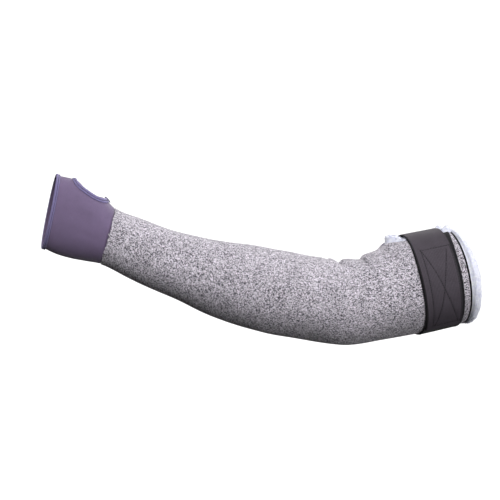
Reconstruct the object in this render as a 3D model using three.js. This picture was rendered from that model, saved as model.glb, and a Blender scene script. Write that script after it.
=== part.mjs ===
// A knitted cut resistant arm sleeve, in the bent form that it takes on an arm. The heather knit tube
// runs from the wrist seam past the elbow to its upper edge. It has an open slit along the top of the
// upper arm, where the pale fleece lining shows, as it does past the upper edge. A stretch cuff with a
// thumb opening is sewn into the wrist end. A loop band goes round the upper arm, and a closing strap
// lies over it and crosses the slit. Millimetres. The origin is the middle of the arm at the elbow. +X
// runs along the arm from the hand to the upper arm, +Z is up, on the side of the inner elbow, the
// slit and the thumb, and -Y is the side of the strap's free end.
import * as THREE from "three";
import { mergeVertices } from "three/addons/utils/BufferGeometryUtils.js";

// The arm's line, in the plane of the elbow's bend. Slopes are in degrees.
const CUFF_LENGTH = 66;
const CUFF_RISE = 23.3;
const FOREARM_LENGTH = 249;
const FOREARM_FALL = 15.9;
const FOREARM_BOW = 11.5;
const UPPER_ARM_LENGTH = 118;
const UPPER_ARM_RISE = 11.8;
const UPPER_ARM_BOW = 2.2;

// Outside sizes of the worn sleeve: height in the plane of the bend, depth across it.
const HAND = { height: 76, depth: 40 };
const WRIST = { height: 59, depth: 50 };
const ELBOW = { height: 88.6, depth: 86 };
const ARM = { height: 96, depth: 92 };
const ROUNDNESS = 2.12;

// Cloth thicknesses and the gap left between neighbours.
const KNIT_WALL = 1.8;
const CUFF_WALL = 1.3;
const LINING_WALL = 1.5;
const CLOTH_GAP = 0.8;

// The slit along the top of the upper arm, up to the knit's upper edge.
const SLIT_LENGTH = 66;
const SLIT_HALF_WIDTH = 14;
const SLIT_BLUNTNESS = 6;

// The lining: how far it starts below the slit, and how far and how thick it stands past the knit's edges.
const LINING_START_BELOW_SLIT = 20;
const LIP_PAST_HEM = 10.5;
const LIP_PAST_SLIT = 7;
const LIP_WALL = 5;
const LIP_PROUD = 0.6;
const LIP_SWELL = 2.8;
const LIP_CORNER = 64;
const LIP_CORNER_SHARE = 0.28;
const LIP_SWELL_START = 3;
const SLIT_SWELL_START = 1.8;
const EDGE_ROUND = 2.4;

// How far the cloth rises from the arm at the slit, how far before and after the slit's start it does
// so, and the share of it that is left at the hem. Then how far the lip rises past that where no strap
// holds it down.
const SLIT_LIFT = 5;
const SLIT_LIFT_ANGLE = 75;
const SLIT_LIFT_BEFORE = 5;
const SLIT_LIFT_AFTER = 7;
const SLIT_LIFT_AT_HEM = 0.6;
const LIP_CREST = 5;
const CREST_RISE = 5;
const CREST_END = 3.5;
const CREST_FADE = 16;
const CREST_CLEARANCE = 1;

// The thread edging on the knit's upper edge.
const EDGING_WIDTH = 2;
const EDGING_WALL = 2.4;

// The thumb opening in the top of the cuff, as shares of the cuff's length, and its half angle in degrees.
const THUMB_REAR = 0.19;
const THUMB_FRONT = 0.7;
const THUMB_HALF_ANGLE = 35;
const THUMB_BLUNTNESS = 0.7;

// The turned hems of the cuff, and the length of the cuff that is sewn inside the knit.
const HEM_WIDTH = 3.6;
const HEM_WALL = 1.2;
const HEM_GAP = 0.3;
const CUFF_TAIL = 9;
const CUFF_BELOW_KNIT = 0.5;
const CUFF_STEP_LENGTH = 5;

// The loop band, which is drawn out towards the upper edge beside the slit, and the closing strap,
// which lies on the band and is drawn out a little at the top.
const BAND_WIDTH = 41;
const BAND_FROM_EDGE = 5.8;
const BAND_WALL = 1.3;
const BAND_GAP = 0.45;
const BAND_FLARE = 4;
const BAND_SLIT_CLEARANCE = 1.5;
const STRAP_WIDTH = 36.5;
const STRAP_FROM_EDGE = 8.9;
const STRAP_WALL = 1.6;
const STRAP_GAP = 0.4;
const STRAP_SHIFT_TOP = 1.3;
const STRAP_ROOT_ANGLE = -58;
const STRAP_END_ANGLE = 149;

// Sections along each leg of the arm. along: share of the leg's length, from the wrist to the hand,
// from the wrist to the elbow, or from the elbow to the upper edge. bow: share of the leg's bow, below
// its straight line. top, bottom and depth: 0 is the size at the leg's start and 1 the size at its
// end. tilt and yaw: the section's lean, degrees.
const CUFF_SECTIONS = [
  { along: 1.0, bow: 0, tilt: 11.6, yaw: 6.5, top: 1.0, bottom: 1.0, depth: 1.0 },
  { along: 0.75, bow: 0, tilt: 12.5, yaw: 3.5, top: 1.36, bottom: 1.06, depth: 0.7 },
  { along: 0.5, bow: 0, tilt: 13.3, yaw: 1.5, top: 1.5, bottom: 0.82, depth: 0.3 },
  { along: 0.25, bow: 0, tilt: 14.2, yaw: 0.5, top: 0.85, bottom: 0.4, depth: 0.05 },
];
const FOREARM_SECTIONS = [
  { along: 0.0, bow: 0.0, tilt: 15.0, yaw: 0, top: 0.0, bottom: 0.0, depth: 0.0 },
  { along: 0.1, bow: 0.34, tilt: 17.0, yaw: 0, top: 0.07, bottom: 0.03, depth: 0.08 },
  { along: 0.2, bow: 0.64, tilt: 18.5, yaw: 0, top: 0.18, bottom: 0.11, depth: 0.2 },
  { along: 0.3, bow: 0.88, tilt: 18.5, yaw: 0, top: 0.34, bottom: 0.18, depth: 0.36 },
  { along: 0.42, bow: 1.0, tilt: 17.0, yaw: 0, top: 0.57, bottom: 0.41, depth: 0.58 },
  { along: 0.57, bow: 0.94, tilt: 14.0, yaw: 0, top: 0.82, bottom: 0.77, depth: 0.84 },
  { along: 0.73, bow: 0.68, tilt: 11.5, yaw: 0, top: 0.94, bottom: 0.98, depth: 0.98 },
  { along: 0.88, bow: 0.36, tilt: 8.0, yaw: 0, top: 0.92, bottom: 0.98, depth: 1.0 },
];
const UPPER_ARM_SECTIONS = [
  { along: 0.0, bow: 0.0, tilt: 0.0, yaw: 0, top: 0.0, bottom: 0.0, depth: 0.0 },
  { along: 0.16, bow: 0.9, tilt: -7.0, yaw: 0, top: 0.0, bottom: 0.0, depth: 0.12 },
  { along: 0.32, bow: 0.8, tilt: -11.0, yaw: 4.0, top: 0.35, bottom: 0.35, depth: 0.4 },
  { along: 0.6, bow: 0.3, tilt: -11.7, yaw: 8.5, top: 0.9, bottom: 0.95, depth: 0.85 },
  { along: 0.93, bow: 0.0, tilt: -10.2, yaw: 10.0, top: 1.0, bottom: 1.0, depth: 1.0 },
  { along: 1.1, bow: 0.0, tilt: -8.5, yaw: 14.0, top: 1.05, bottom: 1.05, depth: 1.05 },
];

// Creases across the inner elbow. at: share of FOLD_SPAN past the elbow. depth: share of FOLD_DEPTH.
// before and after: how far each side runs out, shares of FOLD_REACH. middle: the angle from the top,
// and spread: how far round it goes, degrees.
const FOLD_SPAN = 50;
const FOLD_DEPTH = 4;
const FOLD_REACH = 8;
const FOLDS = [
  { at: -0.385, depth: 0.3, before: 0.6, after: 0.3, middle: 0, spread: 42 },
  { at: -0.05, depth: 1.0, before: 0.9, after: 0.38, middle: 0, spread: 52 },
  { at: 0.55, depth: 0.8, before: 1.25, after: 0.38, middle: 0, spread: 58 },
];

// How fine the cloth is cut: columns round the arm, and rows in millimetres along each stretch.
const COLUMNS = 26;
const ROW_STEP = 20;
const FOLD_ROW_STEP = 5;
const FOLD_STRETCH = [-26, 36];

const LINING_COLUMN_SHARES = [0, 0.2, 0.6, 0.9];
const LINING_COLUMN_ROOM = 6;

const rad = THREE.MathUtils.degToRad;
const mix = THREE.MathUtils.lerp;
const HEM = FOREARM_LENGTH + UPPER_ARM_LENGTH;
const SLIT_START = HEM - SLIT_LENGTH;
const BAND_EDGE = HEM - BAND_FROM_EDGE;
const STRAP_FRONT = HEM - STRAP_FROM_EDGE + STRAP_SHIFT_TOP;
const STRAP_REAR = STRAP_FRONT - STRAP_WIDTH;

// Rows along the slit: close together where it starts and where the lip goes in under the strap and
// comes out again.
const SLIT_ROWS = [
  SLIT_START,
  SLIT_START + 1.5,
  SLIT_START + 4,
  SLIT_START + 7,
  STRAP_REAR - CREST_CLEARANCE - CREST_RISE * 0.5,
  STRAP_REAR - CREST_CLEARANCE,
  (STRAP_REAR + STRAP_FRONT) / 2,
  STRAP_FRONT + CREST_CLEARANCE,
  (STRAP_FRONT + CREST_CLEARANCE + HEM) / 2,
  HEM,
];

// A leg's straight line from one end to the other, with the section's middle below it by the bow.
function legPoint(from, to, row, bow) {
  const line = new THREE.Vector2().subVectors(to, from);
  const below = new THREE.Vector2(line.y, -line.x).normalize();
  if (below.y > 0) below.negate();
  return from.clone().addScaledVector(line, row.along).addScaledVector(below, bow * row.bow);
}

// The rows of one leg, with shares turned into millimetres. s is the distance from the wrist seam
// along the arm.
function legSections(rows, startAt, length, from, to, bow, start, end) {
  return rows.map((row) => {
    const middle = legPoint(from, to, row, bow);
    return {
      s: startAt + row.along * length,
      x: middle.x,
      z: middle.y,
      tilt: row.tilt,
      yaw: row.yaw,
      top: mix(start.height, end.height, row.top) / 2,
      bottom: mix(start.height, end.height, row.bottom) / 2,
      depth: mix(start.depth, end.depth, row.depth) / 2,
    };
  });
}

function polar(length, slope) {
  return new THREE.Vector2(length * Math.cos(rad(slope)), length * Math.sin(rad(slope)));
}

const elbowPoint = new THREE.Vector2(0, 0);
const wristPoint = polar(-FOREARM_LENGTH, -FOREARM_FALL);
const handPoint = wristPoint.clone().add(polar(-CUFF_LENGTH, -CUFF_RISE));
const hemPoint = polar(UPPER_ARM_LENGTH, UPPER_ARM_RISE);
const SECTIONS = [
  ...legSections(CUFF_SECTIONS, 0, -CUFF_LENGTH, wristPoint, handPoint, 0, WRIST, HAND),
  ...legSections(FOREARM_SECTIONS, 0, FOREARM_LENGTH, wristPoint, elbowPoint, FOREARM_BOW, WRIST, ELBOW),
  ...legSections(
    UPPER_ARM_SECTIONS, FOREARM_LENGTH, UPPER_ARM_LENGTH, elbowPoint, hemPoint, UPPER_ARM_BOW, ELBOW, ARM,
  ),
];

// A smooth curve through one column of the sections, run on straight past both ends.
function smoothValue(key, s) {
  const rows = SECTIONS;
  const last = rows.length - 1;
  const slope = (i) => {
    const a = rows[Math.max(i - 1, 0)];
    const b = rows[Math.min(i + 1, last)];
    return (b[key] - a[key]) / (b.s - a.s);
  };
  if (s <= rows[0].s) return rows[0][key] + slope(0) * (s - rows[0].s);
  if (s >= rows[last].s) return rows[last][key] + slope(last) * (s - rows[last].s);
  const i = rows.findIndex((row, k) => s <= rows[k + 1].s);
  const a = rows[i];
  const b = rows[i + 1];
  const span = b.s - a.s;
  const t = (s - a.s) / span;
  return (
    a[key] * (2 * t ** 3 - 3 * t ** 2 + 1) +
    slope(i) * span * (t ** 3 - 2 * t ** 2 + t) +
    b[key] * (3 * t ** 2 - 2 * t ** 3) +
    slope(i + 1) * span * (t ** 3 - t ** 2)
  );
}

// How far the creases draw the cloth in at a place.
function foldDepth(s, angle) {
  let depth = 0;
  for (const fold of FOLDS) {
    const away = s - FOREARM_LENGTH - fold.at * FOLD_SPAN;
    const reach = FOLD_REACH * (away < 0 ? fold.before : fold.after);
    const turn = Math.abs(Math.atan2(Math.sin(angle - rad(fold.middle)), Math.cos(angle - rad(fold.middle))));
    if (turn > rad(fold.spread)) continue;
    const around = Math.cos((turn / rad(fold.spread)) * (Math.PI / 2)) ** 2;
    depth += FOLD_DEPTH * fold.depth * Math.exp(-((away / reach) ** 2)) * around;
  }
  return depth;
}

// How far the cloth rises towards the slit's edges.
function slitLift(s, angle) {
  const turn = Math.abs(Math.atan2(Math.sin(angle), Math.cos(angle)));
  if (turn > rad(SLIT_LIFT_ANGLE)) return 0;
  const around = Math.cos((turn / rad(SLIT_LIFT_ANGLE)) * (Math.PI / 2)) ** 2;
  const risen = THREE.MathUtils.smoothstep(s, SLIT_START - SLIT_LIFT_BEFORE, SLIT_START + SLIT_LIFT_AFTER);
  return SLIT_LIFT * around * risen * mix(1, SLIT_LIFT_AT_HEM, THREE.MathUtils.smoothstep(s, SLIT_START, HEM));
}

function rounded(value) {
  return Math.sign(value) * Math.abs(value) ** (2 / ROUNDNESS);
}

// A point on the sleeve: s along the arm, the angle from the top towards -Y, and level outside the
// sleeve's outline.
function surfacePoint(s, angle, level) {
  const tilt = rad(smoothValue("tilt", s));
  const yaw = rad(smoothValue("yaw", s));
  const along = new THREE.Vector3(Math.cos(tilt), 0, -Math.sin(tilt));
  const up = new THREE.Vector3(Math.sin(tilt), 0, Math.cos(tilt));
  const across = new THREE.Vector3(0, Math.cos(yaw), 0).addScaledVector(along, -Math.sin(yaw));
  const out = level - foldDepth(s, angle) + slitLift(s, angle);
  const height = smoothValue(Math.cos(angle) > 0 ? "top" : "bottom", s) + out;
  const depth = smoothValue("depth", s) + out;
  return new THREE.Vector3(smoothValue("x", s), 0, smoothValue("z", s))
    .addScaledVector(up, height * rounded(Math.cos(angle)))
    .addScaledVector(across, -depth * rounded(Math.sin(angle)));
}

// A closed wall on a grid of rows and columns. outer and inner give its two faces. shut(i) says that
// the row goes all the way round, so that its first and last columns meet.
function wall(rows, columns, outer, inner, shut) {
  const points = [];
  const faces = [];
  for (const face of [outer, inner]) {
    for (let i = 0; i < rows; i++) {
      for (let j = 0; j < columns; j++) points.push(...face(i, j).toArray());
    }
  }
  const o = (i, j) => i * columns + j;
  const n = (i, j) => rows * columns + i * columns + j;
  const quad = (a, b, c, d) => faces.push(a, b, c, a, c, d);
  for (let i = 0; i < rows - 1; i++) {
    for (let j = 0; j < columns - 1; j++) {
      quad(o(i, j), o(i, j + 1), o(i + 1, j + 1), o(i + 1, j));
      quad(n(i, j), n(i + 1, j), n(i + 1, j + 1), n(i, j + 1));
    }
    if (shut(i) && shut(i + 1)) continue;
    quad(o(i, 0), o(i + 1, 0), n(i + 1, 0), n(i, 0));
    quad(o(i, columns - 1), n(i, columns - 1), n(i + 1, columns - 1), o(i + 1, columns - 1));
  }
  for (let j = 0; j < columns - 1; j++) {
    quad(o(0, j), n(0, j), n(0, j + 1), o(0, j + 1));
    quad(o(rows - 1, j), o(rows - 1, j + 1), n(rows - 1, j + 1), n(rows - 1, j));
  }
  const geometry = new THREE.BufferGeometry();
  geometry.setAttribute("position", new THREE.Float32BufferAttribute(points, 3));
  geometry.setIndex(faces);
  return withoutFlatFaces(mergeVertices(geometry, 1e-3));
}

// Drops the faces that lost their area where columns or rows meet.
function withoutFlatFaces(geometry) {
  const index = Array.from(geometry.index.array);
  const kept = [];
  for (let i = 0; i < index.length; i += 3) {
    const [a, b, c] = index.slice(i, i + 3);
    if (a !== b && b !== c && c !== a) kept.push(a, b, c);
  }
  geometry.setIndex(kept);
  geometry.computeVertexNormals();
  return geometry;
}

function evenly(from, to, step) {
  const count = Math.max(1, Math.round((to - from) / step));
  return Array.from({ length: count }, (_, i) => from + ((to - from) * i) / count);
}

// Half the slit's width in the knit and in the lining, as lengths round the arm, and as angles.
function knitSlit(s) {
  const share = (s - SLIT_START) / SLIT_LENGTH;
  return share <= 0 ? 0 : SLIT_HALF_WIDTH * (1 - (1 - Math.min(share, 1)) ** SLIT_BLUNTNESS);
}

function liningSlit(s) {
  return Math.max(0, knitSlit(s) - LIP_PAST_SLIT);
}

function asAngle(length, s) {
  return length / smoothValue("depth", s);
}

function asLength(angle, s) {
  return Math.min(angle, 2 * Math.PI - angle) * smoothValue("depth", s);
}

// How far the lip rises along the slit: nothing under the strap, and nothing past the knit's upper edge.
function lipCrest(s) {
  const free = s < STRAP_REAR ? STRAP_REAR - CREST_CLEARANCE - s : s - STRAP_FRONT - CREST_CLEARANCE;
  const beside = 1 - THREE.MathUtils.smoothstep(s, HEM, HEM + CREST_END);
  return LIP_CREST * THREE.MathUtils.smoothstep(free, 0, CREST_RISE) * beside;
}

function between(angle, share) {
  return angle + (2 * Math.PI - 2 * angle) * share;
}

function knitSleeve() {
  const foldFrom = FOREARM_LENGTH + FOLD_STRETCH[0];
  const foldTo = FOREARM_LENGTH + FOLD_STRETCH[1];
  const rows = [
    ...evenly(0, foldFrom, ROW_STEP),
    ...evenly(foldFrom, foldTo, FOLD_ROW_STEP),
    ...evenly(foldTo, SLIT_START - SLIT_LIFT_BEFORE, ROW_STEP),
    SLIT_START - SLIT_LIFT_BEFORE,
    ...SLIT_ROWS,
  ];
  const angle = (i, j) => between(asAngle(knitSlit(rows[i]), rows[i]), j / COLUMNS);
  return wall(
    rows.length,
    COLUMNS + 1,
    (i, j) => surfacePoint(rows[i], angle(i, j), 0),
    (i, j) => surfacePoint(rows[i], angle(i, j), -KNIT_WALL),
    (i) => knitSlit(rows[i]) === 0,
  );
}

// The lining lies under the knit, and past the knit's edges it swells into a soft round lip.
function fleeceLining() {
  const start = SLIT_START - LINING_START_BELOW_SLIT;
  const openFrom = SLIT_ROWS.findIndex((s) => liningSlit(s) > 0);
  const end = HEM + LIP_PAST_HEM;
  const rows = [
    start,
    SLIT_START - SLIT_LIFT_BEFORE,
    ...SLIT_ROWS,
    ...[LIP_SWELL_START, LIP_SWELL_START + LIP_SWELL / 2, LIP_SWELL_START + LIP_SWELL].map((d) => HEM + d),
    end - EDGE_ROUND,
    end - EDGE_ROUND * 0.3,
    end,
  ];
  // The lip's corners beside the slit are rounded off: there it stands less far past the hem.
  const placeAlong = (i, j) => {
    const fromSlit = asLength(angle(i, j), rows[i]) - slit(rows[i]);
    const share = mix(LIP_CORNER_SHARE, 1, THREE.MathUtils.smoothstep(fromSlit, 0, LIP_CORNER));
    return rows[i] <= HEM + LIP_SWELL_START ? rows[i] : mix(HEM + LIP_SWELL_START, rows[i], share);
  };
  const deepest = SLIT_ROWS[openFrom - 1];
  const slit = (s) => (s <= deepest ? 0 : liningSlit(Math.min(s, HEM)));
  const columns = COLUMNS + 1 + 2 * LINING_COLUMN_SHARES.length;
  const lengthRound = (i, j) => {
    const s = rows[i];
    const knit = Math.max(knitSlit(Math.min(s, HEM)), LINING_COLUMN_ROOM);
    const near = Math.min(j, columns - 1 - j);
    if (near >= LINING_COLUMN_SHARES.length) return null;
    return mix(slit(s), knit, LINING_COLUMN_SHARES[near]);
  };
  const angle = (i, j) => {
    const s = rows[i];
    const knit = Math.max(knitSlit(Math.min(s, HEM)), LINING_COLUMN_ROOM);
    const length = lengthRound(i, j);
    if (length === null) return between(asAngle(knit, s), (j - LINING_COLUMN_SHARES.length) / COLUMNS);
    const a = asAngle(length, s);
    return j < columns / 2 ? a : 2 * Math.PI - a;
  };
  // How far a place lies past the knit's edge, and how near it lies to the lining's own edge.
  const swell = (i, j) => {
    const s = rows[i];
    const length = lengthRound(i, j);
    const pastHem = (s - HEM - LIP_SWELL_START) / LIP_SWELL;
    const open = knitSlit(Math.min(s, HEM));
    const pastSlit = length === null || open < LINING_COLUMN_ROOM ? 0 : (open - length - SLIT_SWELL_START) / LIP_SWELL;
    return THREE.MathUtils.smoothstep(Math.max(pastHem, pastSlit), 0, 1);
  };
  const fullness = (i, j) => {
    const s = rows[i];
    const length = lengthRound(i, j);
    const toEnd = end - s;
    const toSlit = length === null || slit(s) === 0 ? EDGE_ROUND : length - slit(s);
    const near = THREE.MathUtils.clamp(Math.min(toEnd, toSlit) / EDGE_ROUND, 0, 1);
    return mix(0.35, 1, Math.sqrt(1 - (1 - near) ** 2));
  };
  const level = (i, j, side) => {
    const thin = -KNIT_WALL - CLOTH_GAP - LINING_WALL / 2;
    const fromSlit = Math.max(0, asLength(angle(i, j), rows[i]) - knitSlit(Math.min(rows[i], HEM)));
    const proud = LIP_PROUD + lipCrest(rows[i]) * THREE.MathUtils.smoothstep(CREST_FADE - fromSlit, 0, CREST_FADE);
    const middle = mix(thin, proud - LIP_WALL / 2, swell(i, j));
    return middle + (side * mix(LINING_WALL, LIP_WALL, swell(i, j)) * fullness(i, j)) / 2;
  };
  return wall(
    rows.length,
    columns,
    (i, j) => surfacePoint(placeAlong(i, j), angle(i, j), level(i, j, 1)),
    (i, j) => surfacePoint(placeAlong(i, j), angle(i, j), level(i, j, -1)),
    (i) => slit(rows[i]) === 0,
  );
}

// A rounded roll of thread along the knit's upper edge, from one corner of the slit to the other.
function hemEdging() {
  const from = asAngle(knitSlit(HEM), HEM);
  const start = HEM + HEM_GAP;
  const rows = [start, start + EDGING_WIDTH * 0.3, start + EDGING_WIDTH * 0.7, start + EDGING_WIDTH];
  const fullness = [0.5, 1, 1, 0.5];
  const middle = -KNIT_WALL / 2;
  return wall(
    rows.length,
    COLUMNS + 1,
    (i, j) => surfacePoint(rows[i], between(from, j / COLUMNS), middle + (fullness[i] * EDGING_WALL) / 2),
    (i, j) => surfacePoint(rows[i], between(from, j / COLUMNS), middle - (fullness[i] * EDGING_WALL) / 2),
    () => false,
  );
}

// Half the angle of the thumb opening at a share of the cuff's length.
function thumbAngle(share) {
  const t = (share - THUMB_REAR) / (THUMB_FRONT - THUMB_REAR);
  return t <= 0 || t >= 1 ? 0 : rad(THUMB_HALF_ANGLE) * Math.sin(Math.PI * t) ** THUMB_BLUNTNESS;
}

// The cuff's outside: just below the knit's outside, stepping down to go in under the knit's end.
function cuffLevel(s) {
  const tucked = -KNIT_WALL - HEM_GAP - CLOTH_GAP / 2;
  return mix(tucked, -CUFF_BELOW_KNIT, THREE.MathUtils.smoothstep(-s, 0.5, CUFF_STEP_LENGTH));
}

const THUMB_ROW_SHARES = [0, 0.03, 0.1, 0.22, 0.4, 0.6, 0.78, 0.9, 0.97, 1];

function handCuff() {
  const shares = [
    -CUFF_TAIL / CUFF_LENGTH,
    -0.005,
    0.04,
    CUFF_STEP_LENGTH / CUFF_LENGTH,
    ...THUMB_ROW_SHARES.map((t) => mix(THUMB_REAR, THUMB_FRONT, t)),
    mix(THUMB_FRONT, 1, 0.35),
    mix(THUMB_FRONT, 1, 0.7),
    1,
  ];
  const rows = shares.map((share) => -share * CUFF_LENGTH).reverse();
  const open = shares.map((share) => thumbAngle(share)).reverse();
  const point = (i, j, inset) => surfacePoint(rows[i], between(open[i], j / COLUMNS), cuffLevel(rows[i]) - inset);
  return wall(
    rows.length,
    COLUMNS + 1,
    (i, j) => point(i, j, 0),
    (i, j) => point(i, j, CUFF_WALL),
    (i) => open[i] === 0,
  );
}

// The cloth turned back over the cuff's front edge: a raised band with a rounded brow.
function frontHem() {
  const front = -CUFF_LENGTH;
  const rows = [front - 0.4, front + HEM_WIDTH * 0.3, front + HEM_WIDTH * 0.75, front + HEM_WIDTH];
  const fullness = [0.6, 1, 0.9, 0.45];
  const level = (i, wallShare) => cuffLevel(rows[i]) + HEM_GAP + wallShare * HEM_WALL * fullness[i];
  return wall(
    rows.length,
    COLUMNS + 1,
    (i, j) => surfacePoint(rows[i], between(0, j / COLUMNS), level(i, 1)),
    (i, j) => surfacePoint(rows[i], between(0, j / COLUMNS), level(i, 0)),
    () => true,
  );
}

const THUMB_HEM_STEPS = 32;
const THUMB_HEM_RINGS = [
  { out: -0.1, height: 0.6 },
  { out: 0.35, height: 1 },
  { out: 0.75, height: 0.9 },
  { out: 1, height: 0.45 },
];

// The same turned hem round the thumb opening, as a closed loop. Its rings grow outwards from the
// opening's edge.
function thumbHem() {
  const middle = (THUMB_REAR + THUMB_FRONT) / 2;
  const halfLength = ((THUMB_FRONT - THUMB_REAR) / 2) * CUFF_LENGTH;
  const place = (ring, step) => {
    const turn = (-2 * Math.PI * step) / THUMB_HEM_STEPS;
    const grown = HEM_WIDTH * ring.out;
    const along = Math.cos(turn) * (halfLength + grown);
    const side = Math.abs(Math.sin(turn)) ** THUMB_BLUNTNESS * Math.sign(Math.sin(turn));
    const s = -(middle * CUFF_LENGTH + along);
    const angle = side * (rad(THUMB_HALF_ANGLE) + asAngle(grown, s));
    return { s, angle };
  };
  const point = (i, j, wallShare) => {
    const ring = THUMB_HEM_RINGS[i];
    const { s, angle } = place(ring, j);
    return surfacePoint(s, angle, cuffLevel(s) + HEM_GAP + wallShare * HEM_WALL * ring.height);
  };
  return wall(
    THUMB_HEM_RINGS.length,
    THUMB_HEM_STEPS + 1,
    (i, j) => point(i, j, 1),
    (i, j) => point(i, j, 0),
    () => true,
  );
}

// 1 at the top of the arm, falling to 0 on its sides.
function nearTop(angle, narrowness) {
  return Math.max(0, Math.cos(angle)) ** narrowness;
}

// The loop band, sewn round the upper arm from one edge of the slit to the other.
function loopBand() {
  const shares = [0, 0.25, 0.5, 0.75, 1];
  const point = (i, j, level) => {
    const s = BAND_EDGE - BAND_WIDTH * (1 - shares[i]);
    const angle = between(asAngle(knitSlit(s) + BAND_SLIT_CLEARANCE, s), j / COLUMNS);
    return surfacePoint(s + BAND_FLARE * shares[i] * nearTop(angle, 6), angle, level);
  };
  return wall(
    shares.length,
    COLUMNS + 1,
    (i, j) => point(i, j, BAND_GAP + BAND_WALL),
    (i, j) => point(i, j, BAND_GAP),
    () => false,
  );
}

// The closing strap, from where it is sewn down behind the slit, over the slit and down the near side
// to its free end.
function closingStrap() {
  const shares = [0, 0.5, 1];
  const bottom = BAND_GAP + BAND_WALL + STRAP_GAP;
  const rear = HEM - STRAP_FROM_EDGE - STRAP_WIDTH;
  const point = (i, j, level) => {
    const angle = rad(mix(STRAP_ROOT_ANGLE, STRAP_END_ANGLE, j / COLUMNS));
    return surfacePoint(rear + STRAP_WIDTH * shares[i] + STRAP_SHIFT_TOP * nearTop(angle, 2), angle, level);
  };
  return wall(
    shares.length,
    COLUMNS + 1,
    (i, j) => point(i, j, bottom + STRAP_WALL),
    (i, j) => point(i, j, bottom),
    () => false,
  );
}

const sleeve = new THREE.Group();

function add(name, geometry, color, roughness) {
  const mesh = new THREE.Mesh(geometry, new THREE.MeshStandardMaterial({ color, roughness, metalness: 0 }));
  mesh.name = name;
  sleeve.add(mesh);
}

add("knit_sleeve", knitSleeve(), 0x99939c, 0.95);
add("fleece_lining", fleeceLining(), 0xe4e8f2, 1.0);
add("hem_edging", hemEdging(), 0x2e2834, 0.9);
add("hand_cuff", handCuff(), 0x71638a, 0.85);
add("front_hem", frontHem(), 0x7d72a0, 0.85);
add("thumb_hem", thumbHem(), 0x7d72a0, 0.85);
add("loop_band", loopBand(), 0x2a262c, 0.95);
add("closing_strap", closingStrap(), 0x504852, 0.8);

export default sleeve;
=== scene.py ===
import math

import bmesh
import bpy
import numpy as np
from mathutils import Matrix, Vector
from mathutils.kdtree import KDTree


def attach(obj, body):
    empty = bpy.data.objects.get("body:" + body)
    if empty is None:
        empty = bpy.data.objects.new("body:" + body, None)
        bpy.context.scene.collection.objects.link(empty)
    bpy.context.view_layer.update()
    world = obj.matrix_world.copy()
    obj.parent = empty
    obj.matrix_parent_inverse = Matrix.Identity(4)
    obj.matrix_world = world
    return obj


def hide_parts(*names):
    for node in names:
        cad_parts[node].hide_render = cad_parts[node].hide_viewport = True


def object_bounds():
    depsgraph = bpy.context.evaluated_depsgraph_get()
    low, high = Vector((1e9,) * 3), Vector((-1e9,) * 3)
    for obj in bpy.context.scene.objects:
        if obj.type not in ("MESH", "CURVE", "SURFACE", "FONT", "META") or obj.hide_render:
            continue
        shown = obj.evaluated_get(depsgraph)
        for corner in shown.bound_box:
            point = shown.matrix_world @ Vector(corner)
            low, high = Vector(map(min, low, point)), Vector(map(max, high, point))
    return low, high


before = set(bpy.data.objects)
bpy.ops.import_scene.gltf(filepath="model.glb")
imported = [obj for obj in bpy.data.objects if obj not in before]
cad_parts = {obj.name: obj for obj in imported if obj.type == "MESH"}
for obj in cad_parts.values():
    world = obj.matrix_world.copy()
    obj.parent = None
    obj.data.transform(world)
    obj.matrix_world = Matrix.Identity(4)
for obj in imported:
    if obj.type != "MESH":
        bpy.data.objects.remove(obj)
cad_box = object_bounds()

bl_info = {
    "name": "Cut resistant sleeve",
    "version": (1, 0, 0),
    "blender": (4, 5, 0),
    "location": "3D View > Sidebar > Sleeve",
    "description": "Makes the cloth, thread and webbing of a knitted arm sleeve",
    "category": "Object",
}

MM = 0.001

# The sleeve's line and the sizes across it, in millimetres and degrees.
CUFF_LENGTH = 66
CUFF_RISE = 23.3
FOREARM_LENGTH = 249
FOREARM_FALL = 15.9
FOREARM_BOW = 11.5
UPPER_ARM_LENGTH = 118
UPPER_ARM_RISE = 11.8
UPPER_ARM_BOW = 2.2
HAND = (76, 40)
WRIST = (59, 50)
ELBOW = (88.6, 86)
ARM = (96, 92)
ROUNDNESS = 2.12

# The cloths.
KNIT_WALL = 1.8
CUFF_WALL = 1.3
LINING_WALL = 1.5
CLOTH_GAP = 0.8

# The slit along the top of the sleeve's upper end.
SLIT_LENGTH = 66
SLIT_HALF_WIDTH = 14
SLIT_BLUNTNESS = 6

# The lining and its lip.
LINING_START_BELOW_SLIT = 20
LIP_PAST_HEM = 10.5
LIP_PAST_SLIT = 7
LIP_WALL = 5
LIP_PROUD = 0.6
LIP_SWELL = 2.8
LIP_CORNER = 64
LIP_CORNER_SHARE = 0.28
LIP_SWELL_START = 3
SLIT_SWELL_START = 1.8
EDGE_ROUND = 2.4
SLIT_LIFT = 5
SLIT_LIFT_ANGLE = 75
SLIT_LIFT_BEFORE = 5
SLIT_LIFT_AFTER = 7
SLIT_LIFT_AT_HEM = 0.6
LIP_CREST = 5
CREST_RISE = 5
CREST_END = 3.5
CREST_FADE = 16
CREST_CLEARANCE = 1
LINING_COLUMN_ROOM = 6

# The edging, the hems and the thumb opening.
EDGING_WIDTH = 2
EDGING_WALL = 2.4
THUMB_REAR = 0.19
THUMB_FRONT = 0.7
THUMB_HALF_ANGLE = 35
THUMB_BLUNTNESS = 0.7
HEM_WIDTH = 3.6
HEM_WALL = 1.2
HEM_GAP = 0.3
CUFF_TAIL = 9
CUFF_BELOW_KNIT = 0.5
CUFF_STEP_LENGTH = 2.6

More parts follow.
